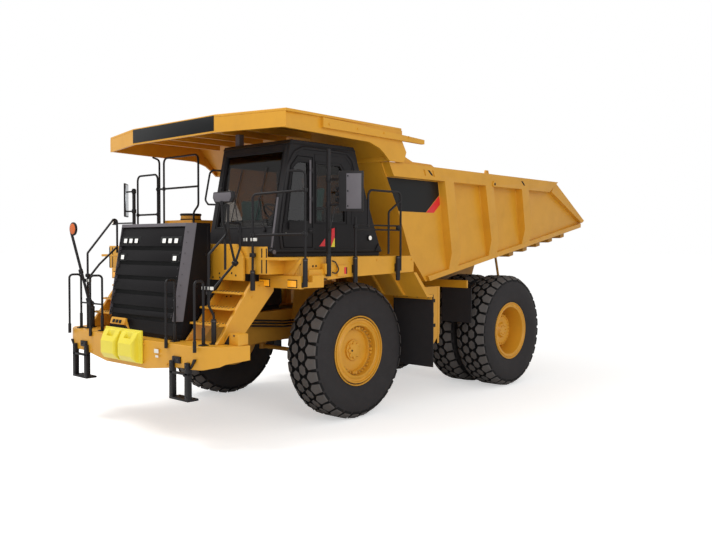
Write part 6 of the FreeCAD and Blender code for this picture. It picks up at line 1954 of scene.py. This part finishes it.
            out = tilt @ Vector((0.200 * math.sin(math.radians(turn)),
                                 0.200 * math.cos(math.radians(turn)), 0.0))
            shape.rod((5.420, y, 3.200), tuple(out), 0.012, Finish.DASH, sides=12)
        shape.rod(tuple(tilt @ Vector((0, 0, -0.02))), tuple(tilt @ Vector((0, 0, 0.022))), 0.045,
                  Finish.DASH,
                  sides=24, bevel=0.008)
        shape.piece("driver_controls", "chassis", "dash_plastic", ["console"], smooth_angle=50.0)


# ---------------------------------------------------------------- deck fittings
@dataclass
class DeckTrim:
    """Panels, brackets, lamps, bolts, hoses and marks of the deck, stairs, tank and frame."""

    side_y: float = 2.300
    beam_face: float = 6.000
    panel_face: float = 6.330

    def build(self) -> None:
        """Build every piece."""
        self._front_plates()
        self._side_brackets()
        self._stair_backs()
        self._amber_lamps()
        self._hoses()
        self._small_marks()
        self._cleaner()

    def _front_plates(self) -> None:
        """Plates below the cab's front, with their slots, bolts, brace and lamp beam."""
        shape = Shape()
        for sign in (1, -1):
            shape.block((6.262, sign * 1.740 - 0.300, 2.335), (6.276, sign * 1.740 + 0.300, 2.715),
                        Finish.YELLOW,
                        bevel=0.004)
            # near-black slots: painted shade inside them
            for y in (1.935, 2.030):
                shape.block((6.274, sign * y - 0.011, 2.350), (6.279, sign * y + 0.011, 2.690),
                            Finish.VOID,
                            bevel=0.002)
            shape.block((5.950, sign * 2.032 - 0.010, 2.335), (6.270, sign * 2.032 + 0.010, 2.560),
                        Finish.YELLOW,
                        bevel=0.003)
            inner_y, outer_y = sorted((sign * 1.560, sign * 1.790))
            shape.block((5.944, inner_y, 2.236), (5.960, outer_y, 2.330), Finish.YELLOW, bevel=0.002)
            shape.block((5.942, sign * 2.040 - 0.255, 2.232), (5.962, sign * 2.040 + 0.255, 2.566),
                        Finish.YELLOW,
                        bevel=0.004)
            shape.block((5.944, sign * 1.990 - 0.430, 2.140), (6.012, sign * 1.990 + 0.430, 2.318),
                        Finish.YELLOW,
                        bevel=0.008)
            brace = [(2.100, 2.318), (2.240, 2.318), (2.405, 2.520), (2.405, 2.566)]
            shape.plate(front_view(brace, 5.966, sign), (0.012, 0, 0), Finish.YELLOW, bevel=0.003)
            # near-black holes: painted shade inside them
            for y, z in ((1.970, 2.545), (1.970, 2.475), (1.970, 2.365), (2.360, 2.480), (1.850, 2.400)):
                shape.rod((5.960, sign * y, z), (5.966, sign * y, z), 0.016, Finish.VOID, sides=16)
            # near-black holes: painted shade inside them
            for y, z in ((1.070, 2.330), (1.350, 2.340), (1.440, 2.310), (0.920, 2.270), (1.080, 2.270)):
                shape.rod((self.panel_face - 0.002, sign * y, z), (self.panel_face + 0.003, sign * y, z),
                          0.015,
                          Finish.VOID, sides=16)
            for y in (1.000, 1.300):
                shape.bolt((self.panel_face, sign * y, 2.690), (1, 0, 0), 0.012, Finish.YELLOW)
        shape.piece("deck_front_plates", "chassis", "yellow_paint")

    def _side_brackets(self) -> None:
        """Mirror foot box, lamp bracket and seams on the deck's side plate."""
        shape = Shape()
        y = self.side_y
        shape.block((5.390, y - 0.004, 2.270), (5.790, y + 0.062, 2.405), Finish.YELLOW, bevel=0.026)
        # near-black strip under the mirror foot box: painted shade
        shape.block((5.400, y - 0.004, 2.248), (5.800, y + 0.030, 2.264), Finish.VOID, bevel=0.003)
        # near-black holes: painted shade inside them
        for fore in (5.600, 5.660):
            shape.rod((fore, y - 0.002, 2.445), (fore, y + 0.004, 2.445), 0.015, Finish.VOID, sides=16)
        shape.rod((5.810, y - 0.002, 2.290), (5.810, y + 0.004, 2.290), 0.015, Finish.VOID, sides=16)
        shape.block((4.990, y - 0.004, 2.290), (5.190, y + 0.034, 2.450), Finish.YELLOW, bevel=0.010)
        shape.block((5.020, y + 0.030, 2.320), (5.060, y + 0.038, 2.420), Finish.RED, bevel=0.003)
        shape.block((5.002, y + 0.030, 2.320), (5.018, y + 0.038, 2.420), Finish.VOID, bevel=0.002)
        for fore in (3.460, 4.300, 4.920, 5.880):
            for sign in (1, -1):
                shape.bolt((fore, sign * (y - 0.001), 2.510), (0, sign, 0), 0.013, Finish.YELLOW)
        for low, high in ((3.420, 4.620), (4.630, 5.930)):
            shape.block((low, -y - 0.004, 2.330), (high, -y + 0.003, 2.344), Finish.YELLOW, bevel=0.002)
        shape.piece("deck_side_brackets", "chassis", "yellow_paint")

    def _stair_backs(self) -> None:
        """Sloping back plates behind the stair treads, with their bolt holes, and edge grips."""
        shape = Shape()
        for sign in (1, -1):
            low, high = (6.530, 1.612), (6.045, 2.215)
            corners = [(low[0], sign * 0.985, low[1]), (low[0], sign * 1.636, low[1]),
                       (high[0], sign * 1.636, high[1]), (high[0], sign * 0.985, high[1])]
            shape.plate(corners, (-0.008, 0.0, -0.007), Finish.YELLOW)
            # near-black bolt holes: painted shade inside them
            for y, z in ((1.100, 1.990), (1.190, 2.000), (1.050, 1.760)):
                fore = low[0] + (high[0] - low[0]) * (z - low[1]) / (high[1] - low[1]) + 0.002
                shape.rod((fore - 0.004, sign * y, z), (fore + 0.002, sign * y, z + 0.002), 0.014,
                          Finish.VOID,
                          sides=14)
            for i in range(3):
                z, x = 1.661 + 0.210 * i, 6.690 - 0.170 * i
                for j in range(9):
                    y = sign * (1.060 + 0.068 * j)
                    shape.rod((x + 0.070, y, z - 0.002), (x + 0.070, y, z + 0.005), 0.014,
                              Finish.DARK_ZINC, sides=10)
                    shape.rod((x - 0.060, y, z - 0.002), (x - 0.060, y, z + 0.005), 0.014,
                              Finish.DARK_ZINC, sides=10)
            for fore, z in ((6.640, 1.500), (6.250, 2.010), (6.120, 2.160)):
                shape.bolt((fore, sign * 1.699, z), (0, sign, 0), 0.014, Finish.YELLOW)
        shape.piece("stair_backs", "chassis", "yellow_paint")

    def _amber_lamps(self) -> None:
        """Amber lamps in black bezels on the lamp beam."""
        lenses, bezels = Shape(), Shape()
        face = self.beam_face + 0.011
        for sign in (1, -1):
            for y0, y1, z0, z1 in ((1.590, 1.790, 2.162, 2.250), (2.180, 2.345, 2.166, 2.254)):
                low_y, high_y = sorted((sign * y0, sign * y1))
                bezels.block((face - 0.003, low_y - 0.014, z0 - 0.012),
                             (face + 0.006, high_y + 0.014, z1 + 0.012),
                             Finish.BLACK, bevel=0.004)
                lenses.block((face + 0.003, low_y, z0), (face + 0.020, high_y, z1), Finish.AMBER_LENS,
                             bevel=0.006)
        bezels.piece("amber_lamp_bezels", "chassis", "black_paint")
        lenses.piece("amber_lamp_lenses", "chassis", "amber_lens", ["amber_lamps"])

    def _hoses(self) -> None:
        """Cable at the side lamp, and hoses beside the stair and along the rails."""
        shape = Shape()
        y = self.side_y
        shape.pipe([(5.300, y - 0.020, 2.520), (5.240, y + 0.030, 2.500), (5.160, y + 0.034, 2.380),
                    (5.230, y + 0.030, 2.330), (5.290, y + 0.020, 2.350)], 0.009, 0.05, Finish.HOSE, 10)
        for shift in (0.0, 0.055):
            shape.pipe([(6.240, 0.985 - 0.02, 2.100 - shift), (6.420, 0.975, 1.860 - shift),
                        (6.560, 0.962, 1.640 - shift), (6.580, 0.962, 1.470)], 0.014, 0.10, Finish.HOSE,
                       12)
        for sign in (1, -1):
            for shift in (0.0, 0.045, 0.090):
                shape.pipe([(5.400, sign * 0.640, 1.560 - shift), (4.700, sign * 0.640, 1.500 - shift),
                            (3.400, sign * 0.640, 1.500 - shift), (2.700, sign * 0.640, 1.440 - shift)],
                           0.015, 0.12,
                           Finish.HOSE, 12)
        shape.piece("hoses", "chassis", "black_paint", smooth_angle=60.0)

    def _small_marks(self) -> None:
        """Blank marks, bolted strips, filler caps, drains and straps of the side tanks."""
        shape = Shape()
        for sign in (1, -1):
            face = sign * 1.900
            for fore, low, high in ((2.290, 1.740, 1.800), (2.330, 1.480, 1.565), (2.280, 1.310, 1.370)):
                shape.block((fore, min(face, face + sign * 0.003), low),
                            (fore + 0.105, max(face, face + sign * 0.003), high), Finish.VOID,
                            bevel=0.001)
            bar_low, bar_high = sorted((sign * 1.470, sign * 2.285))
            shape.block((2.886, bar_low, 1.836), (2.896, bar_high, 1.912), Finish.YELLOW, bevel=0.003)
            for y in (1.540, 1.760, 1.980, 2.210):
                shape.bolt((2.896, sign * y, 1.874), (1, 0, 0), 0.012, Finish.DARK_ZINC)
            shape.rod((2.560, sign * 1.780, 2.018), (2.560, sign * 1.780, 2.056), 0.060, Finish.BLACK,
                      sides=32,
                      bevel=0.008)
            shape.rod((2.400, sign * 1.899, 1.080), (2.400, sign * 1.915, 1.080), 0.030, Finish.ZINC,
                      sides=6,
                      bevel=0.003)
            for fore in (2.200, 2.730):
                shape.block((fore - 0.025, min(face, face + sign * 0.004), 1.020),
                            (fore + 0.025, max(face, face + sign * 0.004), 2.010), Finish.YELLOW,
                            bevel=0.002)
        shape.piece("tank_marks", "chassis", "yellow_paint")

    def _cleaner(self) -> None:
        """Black cap, dark band and latches of the air cleaner."""
        shape = Shape()
        x, y = 5.300, -1.060
        shape.rod((x, y, 3.228), (x, y, 3.268), 0.182, Finish.BLACK, sides=48, bevel=0.014)
        shape.rod((x, y, 3.150), (x, y, 3.176), 0.176, Finish.VOID, sides=48)
        for fore in (5.120, 5.480):
            shape.block((fore - 0.025, -0.662, 2.940), (fore + 0.025, -0.652, 3.040), Finish.DARK_ZINC,
                        bevel=0.003)
            shape.block((fore - 0.025, -1.478, 2.940), (fore + 0.025, -1.468, 3.040), Finish.DARK_ZINC,
                        bevel=0.003)
        shape.piece("air_cleaner_cap", "chassis", "black_paint")




# ---------------------------------------------------------------- studio
@dataclass
class Studio:
    """Floor, soft lamps, pale surroundings and the camera."""

    floor_size: float = 400.0
    floor_colour: str = "#EDEDEC"
    camera_place: Point = (11.054, 10.085, 2.753)
    camera_yaw_deg: float = 222.532
    camera_pitch_deg: float = -1.680
    camera_roll_deg: float = 0.127
    lens_mm: float = 39.486
    sky_strength: float = 0.62
    pale: str = "#FFFFFF"

    def floor(self) -> None:
        """Lay the plain floor, which the camera sees lit."""
        mesh = bmesh.new()
        bmesh.ops.create_grid(mesh, x_segments=1, y_segments=1, size=self.floor_size / 2)
        data = mesh_data(mesh, "studio_floor")
        material, tree = blank_material("studio_floor_paint")
        path = add_node(tree, "ShaderNodeLightPath")
        plain = add_node(tree, "ShaderNodeBsdfDiffuse", {"Color": linear_colour(self.floor_colour)})
        lit = add_node(tree, "ShaderNodeEmission", {"Color": linear_colour(self.pale), "Strength": 0.5})
        both = add_node(tree, "ShaderNodeAddShader",
                        {0: plain.outputs["BSDF"], 1: lit.outputs["Emission"]})
        seen = add_node(tree, "ShaderNodeMixShader", {
            "Fac": path.outputs["Is Camera Ray"], 1: plain.outputs["BSDF"], 2: both.outputs["Shader"]})
        add_node(tree, "ShaderNodeOutputMaterial", {"Surface": seen.outputs["Shader"]})
        data.materials.append(material)
        add_object("studio_floor", data)

    def sky(self) -> None:
        """Surround the truck with even light that the camera and clear panes see as white."""
        world = bpy.data.worlds.new("studio_world")
        bpy.context.scene.world = world
        world.use_nodes = True
        tree = world.node_tree
        tree.nodes.clear()
        path = add_node(tree, "ShaderNodeLightPath")
        clear = add_node(tree, "ShaderNodeMath", {
            0: path.outputs["Is Camera Ray"], 1: path.outputs["Is Transmission Ray"]},
                         operation="MAXIMUM")
        strength = add_node(tree, "ShaderNodeMapRange", {
            "Value": clear.outputs["Value"], "To Min": self.sky_strength, "To Max": 1.0})
        light = add_node(tree, "ShaderNodeBackground", {
            "Color": linear_colour(self.pale), "Strength": strength.outputs["Result"]})
        add_node(tree, "ShaderNodeOutputWorld", {"Surface": light.outputs["Background"]})

    def lamp(self, name: str, place: Point, aim: Point, size: float, power: float) -> None:
        """Hang one soft square lamp.

        Args:
            name: the lamp's name.
            place: where it hangs.
            aim: the point that it faces.
            size: side of its square face.
            power: watts.
        """
        light = bpy.data.lights.new(name, "AREA")
        light.shape = "SQUARE"
        light.size = size
        light.energy = power
        lamp = add_object(name, light)
        lamp.location = place
        lamp.rotation_euler = (Vector(aim) - Vector(place)).to_track_quat("-Z", "Y").to_euler()

    def camera(self) -> None:
        """Set the camera at its viewing angle."""
        eye = bpy.data.cameras.new("main_camera")
        eye.sensor_width = 36.0
        eye.lens = self.lens_mm
        eye.clip_end = 500.0
        camera = add_object("main_camera", eye)
        yaw, pitch, roll = (math.radians(angle) for angle in (
            self.camera_yaw_deg, self.camera_pitch_deg, self.camera_roll_deg))
        view = Vector((math.cos(pitch) * math.cos(yaw), math.cos(pitch) * math.sin(yaw),
                       math.sin(pitch)))
        turn = view.to_track_quat("-Z", "Y").to_matrix().to_4x4() @ Matrix.Rotation(roll, 4, "Z")
        camera.matrix_world = Matrix.Translation(self.camera_place) @ turn
        bpy.context.scene.camera = camera

    def build(self) -> None:
        """Build the whole studio."""
        self.floor()
        self.sky()
        self.lamp("key_lamp", (9.0, -4.0, 14.0), (0.5, 0.5, 2.0), 7.0, 1250.0)
        self.lamp("fill_lamp", (9.0, 15.0, 8.0), (0.5, 0.5, 2.0), 9.0, 700.0)
        self.camera()
        bpy.context.scene.view_settings.view_transform = "Standard"


# ---------------------------------------------------------------- the truck
@dataclass(frozen=True)
class Shell:
    """How one CAD node is finished: its finish, slot and rounded edges."""

    finish: Finish
    slot: str
    rounding_mm: float = 0.0


SHELLS: dict[Shell, Sequence[str]] = {
    Shell(Finish.YELLOW, "yellow_paint", 8.0): (
        "deck", "fenders", "front_panels", "canopy", "canopy_skirt", "body_sides", "side_tanks",
        "front_bumper",
        "stairs"),
    # the frame, struts, floor, axle and other parts under the truck take the darker yellow, which paints
    # the shade they sit in
    Shell(Finish.CHASSIS, "yellow_paint", 6.0): (
        "frame_rails", "crossmembers", "strut_arms", "rear_crossmember", "body_floor", "rear_struts",
        "front_struts"),
    Shell(Finish.CHASSIS, "yellow_paint"): (
        "rear_axle_housing", "steering_knuckle_left", "steering_knuckle_right", "tie_rod",
        "rock_ejectors"),
    Shell(Finish.YELLOW, "yellow_paint", 6.0): ("body_front_wall",),
    Shell(Finish.YELLOW, "yellow_paint", 12.0): ("air_cleaner",),
    Shell(Finish.BUFFER, "buffer_paint", 12.0): ("tow_blocks",),
    Shell(Finish.NOSE_BLACK, "black_paint", 8.0): ("radiator_guard",),
    Shell(Finish.BLACK, "black_paint", 8.0): (
        "cab_side_walls", "cab_front_frame", "cab_rear_wall", "cab_floor", "cab_roof", "cab_door"),
    Shell(Finish.GREY, "grey_paint", 6.0): ("grille_trim",),
    Shell(Finish.FLAP, "flap_rubber", 4.0): ("mud_flaps",),
    Shell(Finish.GLASS, "clear_glass"): ("cab_glass",),
    Shell(Finish.DOOR_GLASS, "clear_glass"): ("door_glass",),
    Shell(Finish.BLACK, "engine_paint", 20.0): ("engine_block",),
    Shell(Finish.CHROME, "chrome_rod"): (
        "hoist_stage_left", "hoist_stage_right", "hoist_rod_left", "hoist_rod_right"),
    Shell(Finish.BLACK, "cylinder_paint"): ("hoist_barrel_left", "hoist_barrel_right"),
}


def dress_shells(frame: Mapping[str, Any]) -> None:
    """Finish every CAD node that no other piece stands for.
    """
    for shell, nodes in SHELLS.items():
        for node in nodes:
            if shell.rounding_mm > 0:
                soften(frame, node, shell.finish, shell.rounding_mm * MILLIMETRE)
                continue
            data = frame["nodes"][node].data
            data.materials.clear()
            data.materials.append(finish_material(shell.finish))
            LOG.info("%s: painted %s", node, shell.finish.name)


def main() -> None:
    """Build every sub-assembly in order, then the studio."""
    logging.basicConfig(level=logging.INFO, format="%(name)s: %(message)s")
    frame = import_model()
    for part in (Wheels.from_frame(), DumpBodyTrim(), Nose(), Handrails(), HungSteps(), Mirrors(),
                 CabTrim(),
                 DeckTrim()):
        part.build()
    dress_shells(frame)
    Studio().build()


if __name__ == "__main__":
    main()
